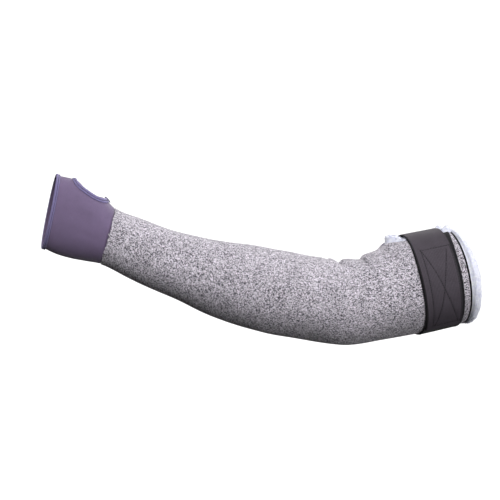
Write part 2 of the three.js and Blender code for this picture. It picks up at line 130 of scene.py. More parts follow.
# The band and the strap.
BAND_WIDTH = 41
BAND_FROM_EDGE = 5.8
BAND_WALL = 1.3
BAND_GAP = 0.45
BAND_FLARE = 4
BAND_SLIT_CLEARANCE = 1.5
STRAP_WIDTH = 36.5
STRAP_FROM_EDGE = 8.9
STRAP_WALL = 1.6
STRAP_GAP = 0.4
STRAP_SHIFT_TOP = 1.3
STRAP_DRAWN_IN = 1.2
BAND_DRAWN_IN = 2.6
STRAP_ROOT_ANGLE = -58
STRAP_END_ANGLE = 149

HEM = FOREARM_LENGTH + UPPER_ARM_LENGTH
SLIT_START = HEM - SLIT_LENGTH
BAND_EDGE = HEM - BAND_FROM_EDGE
STRAP_FRONT = HEM - STRAP_FROM_EDGE + STRAP_SHIFT_TOP
STRAP_REAR = STRAP_FRONT - STRAP_WIDTH
STRAP_BOTTOM = BAND_GAP + BAND_WALL + STRAP_GAP
THUMB_MIDDLE = (THUMB_REAR + THUMB_FRONT) / 2
THUMB_HALF_LENGTH = (THUMB_FRONT - THUMB_REAR) / 2 * CUFF_LENGTH

# Sections along each leg: along, bow, tilt, yaw, top, bottom, depth.
CUFF_SECTIONS = [
    (1.0, 0, 11.6, 6.5, 1.0, 1.0, 1.0),
    (0.75, 0, 12.5, 3.5, 1.36, 1.06, 0.7),
    (0.5, 0, 13.3, 1.5, 1.5, 0.82, 0.3),
    (0.25, 0, 14.2, 0.5, 0.85, 0.4, 0.05),
]
FOREARM_SECTIONS = [
    (0.0, 0.0, 15.0, 0, 0.0, 0.0, 0.0),
    (0.1, 0.34, 17.0, 0, 0.07, 0.03, 0.08),
    (0.2, 0.64, 18.5, 0, 0.18, 0.11, 0.2),
    (0.3, 0.88, 18.5, 0, 0.34, 0.18, 0.36),
    (0.42, 1.0, 17.0, 0, 0.57, 0.41, 0.58),
    (0.57, 0.94, 14.0, 0, 0.82, 0.77, 0.84),
    (0.73, 0.68, 11.5, 0, 0.94, 0.98, 0.98),
    (0.88, 0.36, 8.0, 0, 0.92, 0.98, 1.0),
]
UPPER_ARM_SECTIONS = [
    (0.0, 0.0, 0.0, 0, 0.0, 0.0, 0.0),
    (0.16, 0.9, -7.0, 0, 0.0, 0.0, 0.12),
    (0.32, 0.8, -11.0, 4.0, 0.35, 0.35, 0.4),
    (0.6, 0.3, -11.7, 8.5, 0.9, 0.95, 0.85),
    (0.93, 0.0, -10.2, 10.0, 1.0, 1.0, 1.0),
    (1.1, 0.0, -8.5, 14.0, 1.05, 1.05, 1.05),
]

# Creases across the inner elbow: at, depth, before, after, middle, spread.
FOLD_SPAN = 50
FOLD_DEPTH = 4
FOLD_REACH = 8
FOLDS = [
    (-0.385, 0.3, 0.6, 0.3, 0, 42),
    (-0.05, 1.0, 0.9, 0.38, 0, 52),
    (0.55, 0.8, 1.25, 0.38, 0, 58),
    (-0.03, 0.5, 0.2, 0.16, 12, 26),
    (0.565, 0.45, 0.2, 0.16, 12, 26),
]


def polar(length, slope):
    return np.array([math.cos(math.radians(slope)), math.sin(math.radians(slope))]) * length


def leg_sections(rows, start_at, length, start_point, end_point, bow, start, end):
    line = end_point - start_point
    below = np.array([line[1], -line[0]]) / np.hypot(*line)
    if below[1] > 0:
        below = -below
    made = []
    for along, bow_share, tilt, yaw, top, bottom, depth in rows:
        middle = start_point + line * along + below * bow * bow_share
        sizes = [
            (start[0] + (end[0] - start[0]) * top) / 2,
            (start[0] + (end[0] - start[0]) * bottom) / 2,
            (start[1] + (end[1] - start[1]) * depth) / 2,
        ]
        made.append([start_at + along * length, middle[0], middle[1], tilt, yaw, *sizes])
    return made


ELBOW_POINT = np.zeros(2)
WRIST_POINT = polar(-FOREARM_LENGTH, -FOREARM_FALL)
HAND_POINT = WRIST_POINT + polar(-CUFF_LENGTH, -CUFF_RISE)
HEM_POINT = polar(UPPER_ARM_LENGTH, UPPER_ARM_RISE)
SECTIONS = np.array(
    leg_sections(CUFF_SECTIONS, 0, -CUFF_LENGTH, WRIST_POINT, HAND_POINT, 0, WRIST, HAND)
    + leg_sections(
        FOREARM_SECTIONS, 0, FOREARM_LENGTH, WRIST_POINT, ELBOW_POINT, FOREARM_BOW, WRIST, ELBOW
    )
    + leg_sections(
        UPPER_ARM_SECTIONS, FOREARM_LENGTH, UPPER_ARM_LENGTH, ELBOW_POINT, HEM_POINT,
        UPPER_ARM_BOW, ELBOW, ARM,
    )
)
KEYS = {"s": 0, "x": 1, "z": 2, "tilt": 3, "yaw": 4, "top": 5, "bottom": 6, "depth": 7}


def section_slopes(values):
    count = len(values)
    before = np.maximum(np.arange(count) - 1, 0)
    after = np.minimum(np.arange(count) + 1, count - 1)
    places = SECTIONS[:, 0]
    return (values[after] - values[before]) / (places[after] - places[before])


def smooth_value(key, s):
    """One column of the sections at s along the sleeve. Its curve runs on straight past both ends."""
    s = np.asarray(s, float)
    places, values = SECTIONS[:, 0], SECTIONS[:, KEYS[key]]
    slopes = section_slopes(values)
    i = np.clip(np.searchsorted(places, s, side="left") - 1, 0, len(places) - 2)
    span = places[i + 1] - places[i]
    t = (s - places[i]) / span
    inside = (
        values[i] * (2 * t**3 - 3 * t**2 + 1)
        + slopes[i] * span * (t**3 - 2 * t**2 + t)
        + values[i + 1] * (3 * t**2 - 2 * t**3)
        + slopes[i + 1] * span * (t**3 - t**2)
    )
    before = values[0] + slopes[0] * (s - places[0])
    after = values[-1] + slopes[-1] * (s - places[-1])
    return np.where(s <= places[0], before, np.where(s >= places[-1], after, inside))


def smoothstep(value, low, high):
    t = np.clip((np.asarray(value, float) - low) / (high - low), 0, 1)
    return t * t * (3 - 2 * t)


def mix(a, b, share):
    return a + (b - a) * share


def near_turn(angle, middle, spread):
    """1 at an angle and 0 from spread degrees beside it on, with a smooth fall between them."""
    away = angle - math.radians(middle)
    turn = np.abs(np.arctan2(np.sin(away), np.cos(away))) / math.radians(spread)
    return np.cos(np.minimum(turn, 1) * math.pi / 2) ** 2


def fold_depth(s, angle):
    depth = 0
    for at, deep, before, after, middle, spread in FOLDS:
        away = s - FOREARM_LENGTH - at * FOLD_SPAN
        reach = FOLD_REACH * np.where(away < 0, before, after)
        along = np.exp(-((away / reach) ** 2))
        depth = depth + FOLD_DEPTH * deep * along * near_turn(angle, middle, spread)
    return depth


def slit_lift(s, angle):
    around = near_turn(angle, 0, SLIT_LIFT_ANGLE)
    risen = smoothstep(s, SLIT_START - SLIT_LIFT_BEFORE, SLIT_START + SLIT_LIFT_AFTER)
    return SLIT_LIFT * around * risen * mix(1, SLIT_LIFT_AT_HEM, smoothstep(s, SLIT_START, HEM))


def rounded(value):
    return np.sign(value) * np.abs(value) ** (2 / ROUNDNESS)


def surface(s, angle, level):
    """Points in metres, from s along the sleeve, the angle from the top towards -Y and the outward level."""
    s, angle, level = np.broadcast_arrays(
        np.asarray(s, float), np.asarray(angle, float), np.asarray(level, float)
    )
    tilt = np.radians(smooth_value("tilt", s))
    yaw = np.radians(smooth_value("yaw", s))
    zero = np.zeros_like(s)
    along = np.stack([np.cos(tilt), zero, -np.sin(tilt)], -1)
    up = np.stack([np.sin(tilt), zero, np.cos(tilt)], -1)
    across = np.stack([zero, np.cos(yaw), zero], -1) - along * np.sin(yaw)[..., None]
    out = level - fold_depth(s, angle) + slit_lift(s, angle)
    side = np.where(np.cos(angle) > 0, smooth_value("top", s), smooth_value("bottom", s))
    depth = smooth_value("depth", s) + out
    middle = np.stack([smooth_value("x", s), zero, smooth_value("z", s)], -1)
    point = middle + up * ((side + out) * rounded(np.cos(angle)))[..., None]
    return (point - across * (depth * rounded(np.sin(angle)))[..., None]) * MM


def knit_slit(s):
    share = np.clip((np.asarray(s, float) - SLIT_START) / SLIT_LENGTH, 0, 1)
    return SLIT_HALF_WIDTH * (1 - (1 - share) ** SLIT_BLUNTNESS)


def lining_slit(s):
    return np.maximum(0, knit_slit(s) - LIP_PAST_SLIT)


def as_angle(length, s):
    return length / smooth_value("depth", s)


def as_length(angle, s):
    return np.minimum(angle, 2 * math.pi - angle) * smooth_value("depth", s)


def between(angle, share):
    return angle + (2 * math.pi - 2 * angle) * share


def lip_crest(s):
    behind = STRAP_REAR - CREST_CLEARANCE - s
    free = np.where(s < STRAP_REAR, behind, s - STRAP_FRONT - CREST_CLEARANCE)
    return LIP_CREST * smoothstep(free, 0, CREST_RISE) * (1 - smoothstep(s, HEM, HEM + CREST_END))


def cuff_level(s):
    tucked = -KNIT_WALL - HEM_GAP - CLOTH_GAP / 2
    return mix(tucked, -CUFF_BELOW_KNIT, smoothstep(-np.asarray(s, float), 0.5, CUFF_STEP_LENGTH))


def thumb_angle(share):
    t = np.clip((np.asarray(share, float) - THUMB_REAR) / (THUMB_FRONT - THUMB_REAR), 0, 1)
    return math.radians(THUMB_HALF_ANGLE) * np.sin(math.pi * t) ** THUMB_BLUNTNESS


def near_top(angle, narrowness):
    return np.maximum(0, np.cos(angle)) ** narrowness


def cloth_waver(s, angle):
    """The knit's slow unevenness, in millimetres. It fades out where other cloth lies against it."""
    waves = (
        0.3 * np.sin(2 * angle + s / 19 + 0.7)
        + 0.22 * np.sin(3 * angle - s / 12 + 2.1)
        + 0.14 * np.sin(5 * angle + s / 8.5 + 4.0)
        + 0.1 * np.sin(8 * angle - s / 6.1 + 1.3)
    )
    free = smoothstep(s, 8, 30) * (1 - smoothstep(s, SLIT_START - 36, SLIT_START - 20))
    return waves * free


# Mesh making.


# Degrees between two faces from which their edge is shaded sharp.
SHARP_ANGLE = 50


def linked(name, data):
    thing = bpy.data.objects.new(name, data)
    bpy.context.scene.collection.objects.link(thing)
    return thing


def new_piece(name, points, faces, cloth_map, material):
    """A mesh object at the origin. cloth_map gives each point's place on the flat cloth, in millimetres."""
    mesh = bpy.data.meshes.new(name)
    mesh.from_pydata([tuple(p) for p in points], [], faces)
    layer = mesh.uv_layers.new(name="cloth")
    corners = np.zeros(len(mesh.loops), np.int32)
    mesh.loops.foreach_get("vertex_index", corners)
    layer.uv.foreach_set("vector", np.asarray(cloth_map, np.float32)[corners].ravel())
    build = bmesh.new()
    build.from_mesh(mesh)
    bmesh.ops.remove_doubles(build, verts=build.verts, dist=0.002 * MM)
    bmesh.ops.dissolve_degenerate(build, edges=build.edges, dist=0.001 * MM)
    build.to_mesh(mesh)
    build.free()
    mesh.polygons.foreach_set("use_smooth", np.ones(len(mesh.polygons), bool))
    mesh.set_sharp_from_angle(angle=math.radians(SHARP_ANGLE))
    mesh.materials.append(material)
    return linked(name, mesh)


def wall_piece(name, outer, inner, flat, shut, material):
    """A closed wall between two grids of points. shut says for each row that its ends meet."""
    rows, columns = outer.shape[:2]
    points = np.concatenate([outer.reshape(-1, 3), inner.reshape(-1, 3)])
    cloth = np.concatenate([flat.reshape(-1, 2)] * 2)
    inside = rows * columns
    faces = []

    def o(i, j):
        return i * columns + j

    def n(i, j):
        return inside + i * columns + j

    for i in range(rows - 1):
        for j in range(columns - 1):
            faces.append((o(i, j), o(i, j + 1), o(i + 1, j + 1), o(i + 1, j)))
            faces.append((n(i, j), n(i + 1, j), n(i + 1, j + 1), n(i, j + 1)))
        if shut[i] and shut[i + 1]:
            continue
        faces.append((o(i, 0), o(i + 1, 0), n(i + 1, 0), n(i, 0)))
        last = columns - 1
        faces.append((o(i, last), n(i, last), n(i + 1, last), o(i + 1, last)))
    for j in range(columns - 1):
        faces.append((o(0, j), n(0, j), n(0, j + 1), o(0, j + 1)))
        end = rows - 1
        faces.append((o(end, j), o(end, j + 1), n(end, j + 1), n(end, j)))
    return new_piece(name, points, faces, cloth, material)


def swept_piece(name, rings, flat, closed, material):
    """A profile carried along a path, with its normals outwards. rings holds the profile at each step."""
    count, size = rings.shape[:2]
    faces = []
    for i in range(count if closed else count - 1):
        k = (i + 1) % count
        for j in range(size):
            m = (j + 1) % size
            faces.append((i * size + j, i * size + m, k * size + m, k * size + j))
    if not closed:
        faces.append(tuple(reversed(range(size))))
        faces.append(tuple((count - 1) * size + j for j in range(size)))
    piece = new_piece(name, rings.reshape(-1, 3), faces, flat.reshape(-1, 2), material)
    build = bmesh.new()
    build.from_mesh(piece.data)
    bmesh.ops.recalc_face_normals(build, faces=build.faces)
    build.to_mesh(piece.data)
    build.free()
    return piece


def path_object(name, lines):
    """Open or closed lines as an edge mesh, for a Geometry Nodes tree to follow."""
    points, edges = [], []
    for line, closed in lines:
        first = len(points)
        points += [tuple(p) for p in line]
        edges += [(first + i, first + i + 1) for i in range(len(line) - 1)]
        if closed:
            edges.append((first + len(line) - 1, first))
    mesh = bpy.data.meshes.new(name)
    mesh.from_pydata(points, edges, [])
    return linked(name, mesh)


# Node making.

# Most of what a noise gives lies in this range, so it is what the materials spread out.
NOISE_LOW = 0.3
NOISE_HIGH = 0.7


class Nodes:
    """Adds nodes to a tree and links them. A value is a number, a tuple or another node's output."""

    def __init__(self, tree):
        self.tree = tree

    def add(self, kind, inputs=None, **settings):
        node = self.tree.nodes.new(kind)
        for name, value in settings.items():
            setattr(node, name, value)
        for socket, value in (inputs or {}).items():
            self.feed(node.inputs[socket], value)
        return node

    def feed(self, socket, value):
        if isinstance(value, bpy.types.NodeSocket):
            self.tree.links.new(value, socket)
        elif value is not None:
            socket.default_value = value

    def first(self, kind, inputs=None, **settings):
        """The first output of a new node."""
        return self.add(kind, inputs, **settings).outputs[0]

    def math(self, operation, *values):
        node = self.add("ShaderNodeMath", operation=operation)
        for socket, value in zip(node.inputs, values):
            self.feed(socket, value)
        return node.outputs[0]

    def plus(self, a, b):
        return self.math("ADD", a, b)

    def minus(self, a, b):
        return self.math("SUBTRACT", a, b)

    def over(self, a, b):
        return self.math("DIVIDE", a, b)

    def times(self, *values):
        product = values[0]
        for value in values[1:]:
            product = self.math("MULTIPLY", product, value)
        return product

    def from_middle(self, value):
        """How far a value is from the middle between two whole numbers, from -0.5 to 0.5."""
        return self.minus(self.math("FRACT", value), 0.5)

    def rounded(self, value, fall=1.0):
        """1 less the value's square times its fall."""
        return self.minus(1.0, self.times(value, value, fall))

    def vector(self, operation, *values, scale=None):
        node = self.add("ShaderNodeVectorMath", operation=operation)
        for socket, value in zip(node.inputs, values):
            self.feed(socket, value)
        if scale is not None:
            self.feed(node.inputs["Scale"], scale)
        return node.outputs["Vector"]

    def mix_colour(self, share, a, b):
        return self.add("ShaderNodeMix", {0: share, 6: a, 7: b}, data_type="RGBA").outputs[2]

    def ranged(self, value, low, high, start=0.0, end=1.0, smooth=False):
        inputs = {"Value": value, "From Min": low, "From Max": high, "To Min": start, "To Max": end}
        kind = "SMOOTHSTEP" if smooth else "LINEAR"
        return self.add("ShaderNodeMapRange", inputs, interpolation_type=kind).outputs["Result"]

    def varied(self, noise, low, high):
        return self.ranged(noise, NOISE_LOW, NOISE_HIGH, low, high)

    def noise(self, place, scale, detail=2.0, roughness=0.5):
        inputs = {"Vector": place, "Scale": scale, "Detail": detail, "Roughness": roughness}
        return self.add("ShaderNodeTexNoise", inputs).outputs["Fac"]

    def random_at(self, x, y, z):
        """A random number for each set of three whole numbers."""
        cell = self.first("ShaderNodeCombineXYZ", {"X": x, "Y": y, "Z": z})
        return self.add("ShaderNodeTexWhiteNoise", {"Vector": cell}, noise_dimensions="3D").outputs["Value"]


def group_tree(name, kind, inputs, outputs):
    """A node group with named sockets. Each input is (name, type, default)."""
    tree = bpy.data.node_groups.new(name, kind)

    def socket(named, way, given):
        return tree.interface.new_socket(name=named, in_out=way, socket_type="NodeSocket" + given)

    for named, given, default in inputs:
        made = socket(named, "INPUT", given)
        if default is not None:
            made.default_value = default
    for named, given in outputs:
        socket(named, "OUTPUT", given)
    nodes = Nodes(tree)
    return tree, nodes, nodes.add("NodeGroupInput").outputs, nodes.add("NodeGroupOutput").inputs


def knit_stitch_group():
    """Rows of V-shaped knit loops: their height, and a random number for each fleck along each leg."""
    tree, n, given, out = group_tree(
        "knit stitch",
        "ShaderNodeTree",
        [
            ("Place", "Vector", None), ("Wale", "Float", 1.4), ("Course", "Float", 1.2),
            ("Slant", "Float", 1.2), ("Flecks", "Float", 2.0),
        ],
        [("Height", "Float"), ("Random", "Float")],
    )
    place = n.add("ShaderNodeSeparateXYZ", {0: given["Place"]}).outputs
    x = n.over(place["X"], given["Wale"])
    across = n.from_middle(x)
    away = n.math("ABSOLUTE", across)
    y = n.minus(n.over(place["Y"], given["Course"]), n.times(away, given["Slant"]))
    leg = n.times(n.minus(away, 0.25), 4.0)
    end = n.math("POWER", n.math("ABSOLUTE", n.times(n.from_middle(y), 2.0)), 3.0)
    solid = n.times(n.rounded(leg), n.minus(1.0, end))
    n.feed(out["Height"], n.math("SQRT", n.math("MAXIMUM", solid, 0.0)))
    side = n.math("GREATER_THAN", across, 0.0)
    leg_number = n.plus(n.times(n.math("FLOOR", x), 2.0), side)
    fleck = n.math("FLOOR", n.times(y, given["Flecks"]))
    n.feed(out["Random"], n.random_at(leg_number, fleck, 7.0))
    return tree


def cloth_grain_group():
    """Fine uneven grain for any cloth: fine fibres and slow blotches."""
    sizes = {"Fibre Size": (0.4, 3.0, 0.6), "Blotch Size": (18.0, 2.0, 0.5)}
    tree, n, given, out = group_tree(
        "cloth grain",
        "ShaderNodeTree",
        [("Place", "Vector", None)] + [(name, "Float", sizes[name][0]) for name in sizes],
        [("Fibres", "Float"), ("Blotches", "Float")],
    )
    for name, socket in zip(sizes, (out["Fibres"], out["Blotches"])):
        place = n.vector("SCALE", given["Place"], scale=n.over(1.0, given[name]))
        n.feed(socket, n.noise(place, 1.0, *sizes[name][1:]))
    return tree


def ribs_group():
    """Parallel cords that run along the cloth's length, crossed by finer weft threads."""
    tree, n, given, out = group_tree(
        "woven ribs",
        "ShaderNodeTree",
        [("Place", "Vector", None), ("Pitch", "Float", 1.4), ("Weft", "Float", 0.6)],
        [("Height", "Float"), ("Random", "Float")],
    )
    place = n.add("ShaderNodeSeparateXYZ", {0: given["Place"]}).outputs
    y = n.over(place["Y"], given["Pitch"])
    row = n.math("FLOOR", y)
    odd = n.times(n.math("MODULO", row, 2.0), 0.5)
    shifted = n.plus(n.over(place["X"], given["Weft"]), odd)
    rib_round = n.rounded(n.from_middle(y), 3.6)
    thread_round = n.rounded(n.from_middle(shifted), 2.4)
    n.feed(out["Height"], n.times(rib_round, thread_round))
    n.feed(out["Random"], n.random_at(n.math("FLOOR", shifted), row, 3.0))
    return tree


def shared(name):
    return bpy.data.node_groups.get(name) or GROUPS[name]()


def cloth_material(name, roughness, sheen=0.0):
    """A Principled material with its node helper and its shader's inputs."""
    material = bpy.data.materials.new(name)
    material.use_nodes = True
    shader = material.node_tree.nodes["Principled BSDF"].inputs
    shader["Roughness"].default_value = roughness
    shader["Specular IOR Level"].default_value = 0.25
    shader["Sheen Weight"].default_value = sheen
    shader["Sheen Roughness"].default_value = 0.5
    return material, Nodes(material.node_tree), shader


def place_on_cloth(n):
    return n.add("ShaderNodeUVMap", uv_map="cloth").outputs["UV"]


def place_in_object(n):
    """Object coordinates in millimetres."""
    return n.vector("SCALE", n.add("ShaderNodeTexCoord").outputs["Object"], scale=1 / MM)


def placed_group(n, name, inputs):
    return n.add("ShaderNodeGroup", inputs, node_tree=shared(name)).outputs


def grain_in_object(n, fibre_size, blotch_size):
    sizes = {"Place": place_in_object(n), "Fibre Size": fibre_size, "Blotch Size": blotch_size}
    return placed_group(n, "cloth grain", sizes)


def bumped(n, height, strength, distance):
    return n.first("ShaderNodeBump", {"Strength": strength, "Distance": distance * MM, "Height": height})


def plain_colour(n, colour):
    base = n.first("ShaderNodeRGB")
    base.default_value = (*colour, 1)
    return base


def dressed(n, shader, colour, shades, normal, roughness):
    """Gives a shader a colour times all of its shades, a normal and an uneven roughness."""
    n.feed(shader["Base Color"], n.vector("SCALE", colour, scale=n.times(*shades)))
    n.feed(shader["Normal"], normal)
    n.feed(shader["Roughness"], roughness)


# Where the knit's yarns lie between the dark one and the light one: random number, share of the light.
YARN_STEPS = [(0.3, 0.05), (0.46, 0.42), (0.62, 0.92)]


def knit_material(sizes):
    """Heather knit: each leg of each loop takes a light, middle or dark yarn."""
    material, n, shader = cloth_material("heather_knit", 0.9, 0.15)
    stitch = placed_group(n, "knit stitch", {
        "Place": place_on_cloth(n), "Wale": sizes.wale, "Course": sizes.course,
        "Slant": sizes.slant, "Flecks": sizes.flecks,
    })
    grain = grain_in_object(n, 0.45, 22.0)
    yarn = n.add("ShaderNodeValToRGB", {"Fac": stitch["Random"]})
    ramp = yarn.color_ramp.elements
    ramp[0].color = (*sizes.dark_yarn, 1)
    ramp[1].color = (*sizes.light_yarn, 1)
    for position, share in YARN_STEPS:
        colour = [mix(a, b, share) for a, b in zip(sizes.dark_yarn, sizes.light_yarn)]
        ramp.new(position).color = (*colour, 1)
    # The second shade darkens each loop where its height falls: painted shade between the loops.
    shades = (
        n.varied(grain["Fibres"], 0.72, 1.28),
        n.ranged(stitch["Height"], 0.0, 0.6, 0.55, 1.05),
        n.varied(grain["Blotches"], 0.93, 1.07),
    )
    height = n.plus(stitch["Height"], n.times(grain["Fibres"], 0.5))
    roughness = n.varied(grain["Fibres"], 0.82, 0.98)
    dressed(n, shader, yarn.outputs["Color"], shades, bumped(n, height, 0.6, 0.4), roughness)
    return material


def jersey_material(name, colour, wale):
    """Smooth stretch jersey: fine loops, hardly seen, with slow blotches."""
    material, n, shader = cloth_material(name, 0.8, 0.25)
    stitch = placed_group(n, "knit stitch", {
        "Place": place_on_cloth(n), "Wale": wale, "Course": wale * 0.8, "Slant": 1.0,
    })
    grain = grain_in_object(n, 0.3, 9.0)
    # The first shade darkens the loops where their height falls: painted shade between them.
    shades = (
        n.ranged(stitch["Height"], 0, 0.8, 0.8, 1.05),
        n.ranged(stitch["Random"], 0, 1, 0.94, 1.06),
        n.varied(grain["Blotches"], 0.95, 1.05),
    )
    roughness = n.varied(grain["Fibres"], 0.72, 0.88)
    dressed(n, shader, plain_colour(n, colour), shades, bumped(n, stitch["Height"], 0.5, 0.2), roughness)
    return material


def fleece_material(colour):
    """Brushed fleece: soft clumps, with painted bluish shade in their hollows."""
    material, n, shader = cloth_material("pale_fleece", 1.0, 0.4)
    place = place_in_object(n)
    clumps = n.noise(n.vector("SCALE", place, scale=1 / 2.6), 1.0, 3.0, 0.6)
    fibres = n.noise(n.vector("SCALE", place, scale=1 / 0.5), 1.0, 2.0, 0.6)
    # The hollows between the clumps are painted darker and bluer: painted shade.
    hollow_shade = [c * share for c, share in zip(colour, (0.84, 0.84, 0.94))]
    share = n.ranged(clumps, 0.32, 0.62, smooth=True)
    n.feed(shader["Base Color"], n.mix_colour(share, (*hollow_shade, 1), (*colour, 1)))
    n.feed(shader["Normal"], bumped(n, n.plus(clumps, n.times(fibres, 0.35)), 0.8, 1.2))
    n.feed(shader["Roughness"], n.varied(fibres, 0.9, 1.0))
    return material


def webbing_material(sizes):
    """Elastic webbing: ribs along the strap, fine weft across, and darker edges."""
    material, n, shader = cloth_material("elastic_webbing", 0.8, 0.05)
    cloth = place_on_cloth(n)
    weave = placed_group(
        n, "woven ribs", {"Place": cloth, "Pitch": sizes.rib_pitch, "Weft": sizes.weft_pitch}
    )
    grain = grain_in_object(n, 0.35, 12.0)
    across = n.math("ABSOLUTE", n.add("ShaderNodeSeparateXYZ", {0: cloth}).outputs["Y"])
    half = STRAP_WIDTH / 2
    middle = n.ranged(across, half - 1.0, half - 0.1, 1.0, 0.0, smooth=True)
    # The first shade darkens the webbing where its ribs and weft threads fall: painted shade between them.
    shades = (
        n.ranged(weave["Height"], 0.1, 0.9, 0.8, 1.08),
        n.ranged(weave["Random"], 0, 1, 0.92, 1.08),
        n.ranged(middle, 0, 1, 0.25, 1.0),
        n.varied(grain["Blotches"], 0.93, 1.07),
    )
    roughness = n.ranged(weave["Height"], 0.1, 0.9, 0.88, 0.68)
    colour = plain_colour(n, sizes.strap_colour)
    dressed(n, shader, colour, shades, bumped(n, weave["Height"], 0.35, 0.15), roughness)
    return material


def loop_material(colour):
    """Dull loop fabric: tiny tangled loops, with painted light on the loops and painted shade on the ground
    between them.
    """
    material, n, shader = cloth_material("loop_fabric", 0.95, 0.1)
    place = place_in_object(n)
    loops = n.add("ShaderNodeTexVoronoi", {"Vector": place, "Scale": 1.3}, feature="F1").outputs["Distance"]
    fuzz = n.noise(place, 2.4, 2.0, 0.6)
    # The first shade runs from light where the loops rise to dark between them: painted light and shade.
    shades = (n.ranged(loops, 0.05, 0.7, 1.5, 0.45), n.varied(fuzz, 0.8, 1.3))
    normal = bumped(n, n.minus(fuzz, loops), 0.8, 0.4)
    dressed(n, shader, plain_colour(n, colour), shades, normal, n.varied(fuzz, 0.88, 1.0))
    return material


def thread_material(name, colour):
    """Twisted thread: slanting strands, painted lighter on their crests and darker between them, which is
    painted light and shade.
    """
    material, n, shader = cloth_material(name, 0.7, 0.1)
    place = place_in_object(n)
    parts = n.add("ShaderNodeSeparateXYZ", {0: place}).outputs
    slant = n.plus(n.plus(parts["X"], n.times(parts["Y"], 0.7)), n.times(parts["Z"], 1.3))
    twist = n.math("SINE", n.times(slant, 2 * math.pi / 0.55))
    fuzz = n.noise(place, 1.8, 2.0, 0.6)
    # The twist's shade paints the strands' crests light and the grooves between them dark: painted light and
    # shade.
    shades = (n.ranged(twist, -1, 1, 0.75, 1.2), n.varied(fuzz, 0.85, 1.15))
    normal = bumped(n, twist, 0.5, 0.12)
    dressed(n, shader, plain_colour(n, colour), shades, normal, n.varied(fuzz, 0.62, 0.8))
    return material


# Geometry Nodes trees for what repeats.


def geometry_tree(name, inputs):
    """A Geometry Nodes tree. Each input is (name, default), and a whole number makes an Int socket."""
    sockets = [(named, "Int" if isinstance(default, int) else "Float", default) for named, default in inputs]
    given = [("Geometry", "Geometry", None), *sockets, ("Material", "Material", None)]
    return group_tree(name, "GeometryNodeTree", given, [("Geometry", "Geometry")])


def close_tree(n, start, end, geometry):
    """Every tree ends by making its copies real and giving them their material."""
    real = n.first("GeometryNodeRealizeInstances", {"Geometry": geometry})
    smooth = n.first("GeometryNodeSetShadeSmooth", {"Geometry": real})
    painted = n.first("GeometryNodeSetMaterial", {"Geometry": smooth, "Material": start["Material"]})
    n.feed(end["Geometry"], painted)


def turned_copies(n, points, upright_to, turn, copy, size):
    """Copies of a shape at points, each set upright, then turned about its own axes and sized."""
    upright = n.first("FunctionNodeAlignRotationToVector", {"Vector": upright_to}, axis="Z")
    rotation = n.first(
        "FunctionNodeRotateRotation", {"Rotation": upright, "Rotate By": turn}, rotation_space="LOCAL"
    )
    return n.first(
        "GeometryNodeInstanceOnPoints",
        {"Points": points, "Instance": copy, "Rotation": rotation, "Scale": size},
    )


def round_tube(n, curve, sides, radius):
    profile = n.first("GeometryNodeCurvePrimitiveCircle", {"Resolution": sides, "Radius": radius})
    return n.first(
        "GeometryNodeCurveToMesh", {"Curve": curve, "Profile Curve": profile, "Fill Caps": True}
    )


def stitch_row_tree():
    """Short stitches of thread, one after another along a path."""
    tree, n, start, end = geometry_tree(
        "stitch row", [("Pitch", 0.003), ("Length", 0.002), ("Thickness", 0.0005), ("Slant", 0.0)]
    )
    curve = n.first("GeometryNodeMeshToCurve", {"Mesh": start["Geometry"]})
    spaced = {"Curve": curve, "Length": start["Pitch"]}
    points = n.add("GeometryNodeCurveToPoints", spaced, mode="LENGTH").outputs
    bead = n.add("GeometryNodeMeshUVSphere", {"Segments": 6, "Rings": 5, "Radius": 0.5}).outputs["Mesh"]
    thickness = start["Thickness"]
    size = n.first("ShaderNodeCombineXYZ", {"X": thickness, "Y": thickness, "Z": start["Length"]})
    turn = n.first("ShaderNodeCombineXYZ", {"X": start["Slant"]})
    beads = turned_copies(n, points["Points"], points["Tangent"], turn, bead, size)
    close_tree(n, start, end, beads)
    return tree


def wound_thread_tree():
    """Thread wound round and round a path, as on an overlocked edge."""
    tree, n, start, end = geometry_tree(
        "wound thread", [("Pitch", 0.0016), ("Reach", 0.0012), ("Thickness", 0.0005)]
    )
    curve = n.first("GeometryNodeMeshToCurve", {"Mesh": start["Geometry"]})
    step = n.over(start["Pitch"], 8.0)
    fine = n.first("GeometryNodeResampleCurve", {"Curve": curve, "Length": step}, mode="LENGTH")
    length = n.add("GeometryNodeSplineParameter").outputs["Length"]
    turn = n.times(n.over(length, start["Pitch"]), 2 * math.pi)
    normal = n.first("GeometryNodeInputNormal")
    side = n.vector("CROSS_PRODUCT", n.first("GeometryNodeInputTangent"), normal)
    offset = n.vector(
        "ADD",
        n.vector("SCALE", normal, scale=n.times(n.math("COSINE", turn), start["Reach"])),
        n.vector("SCALE", side, scale=n.times(n.math("SINE", turn), start["Reach"])),
    )
    wound = n.first("GeometryNodeSetPosition", {"Geometry": fine, "Offset": offset})
    close_tree(n, start, end, round_tube(n, wound, 5, n.times(start["Thickness"], 0.5)))
    return tree


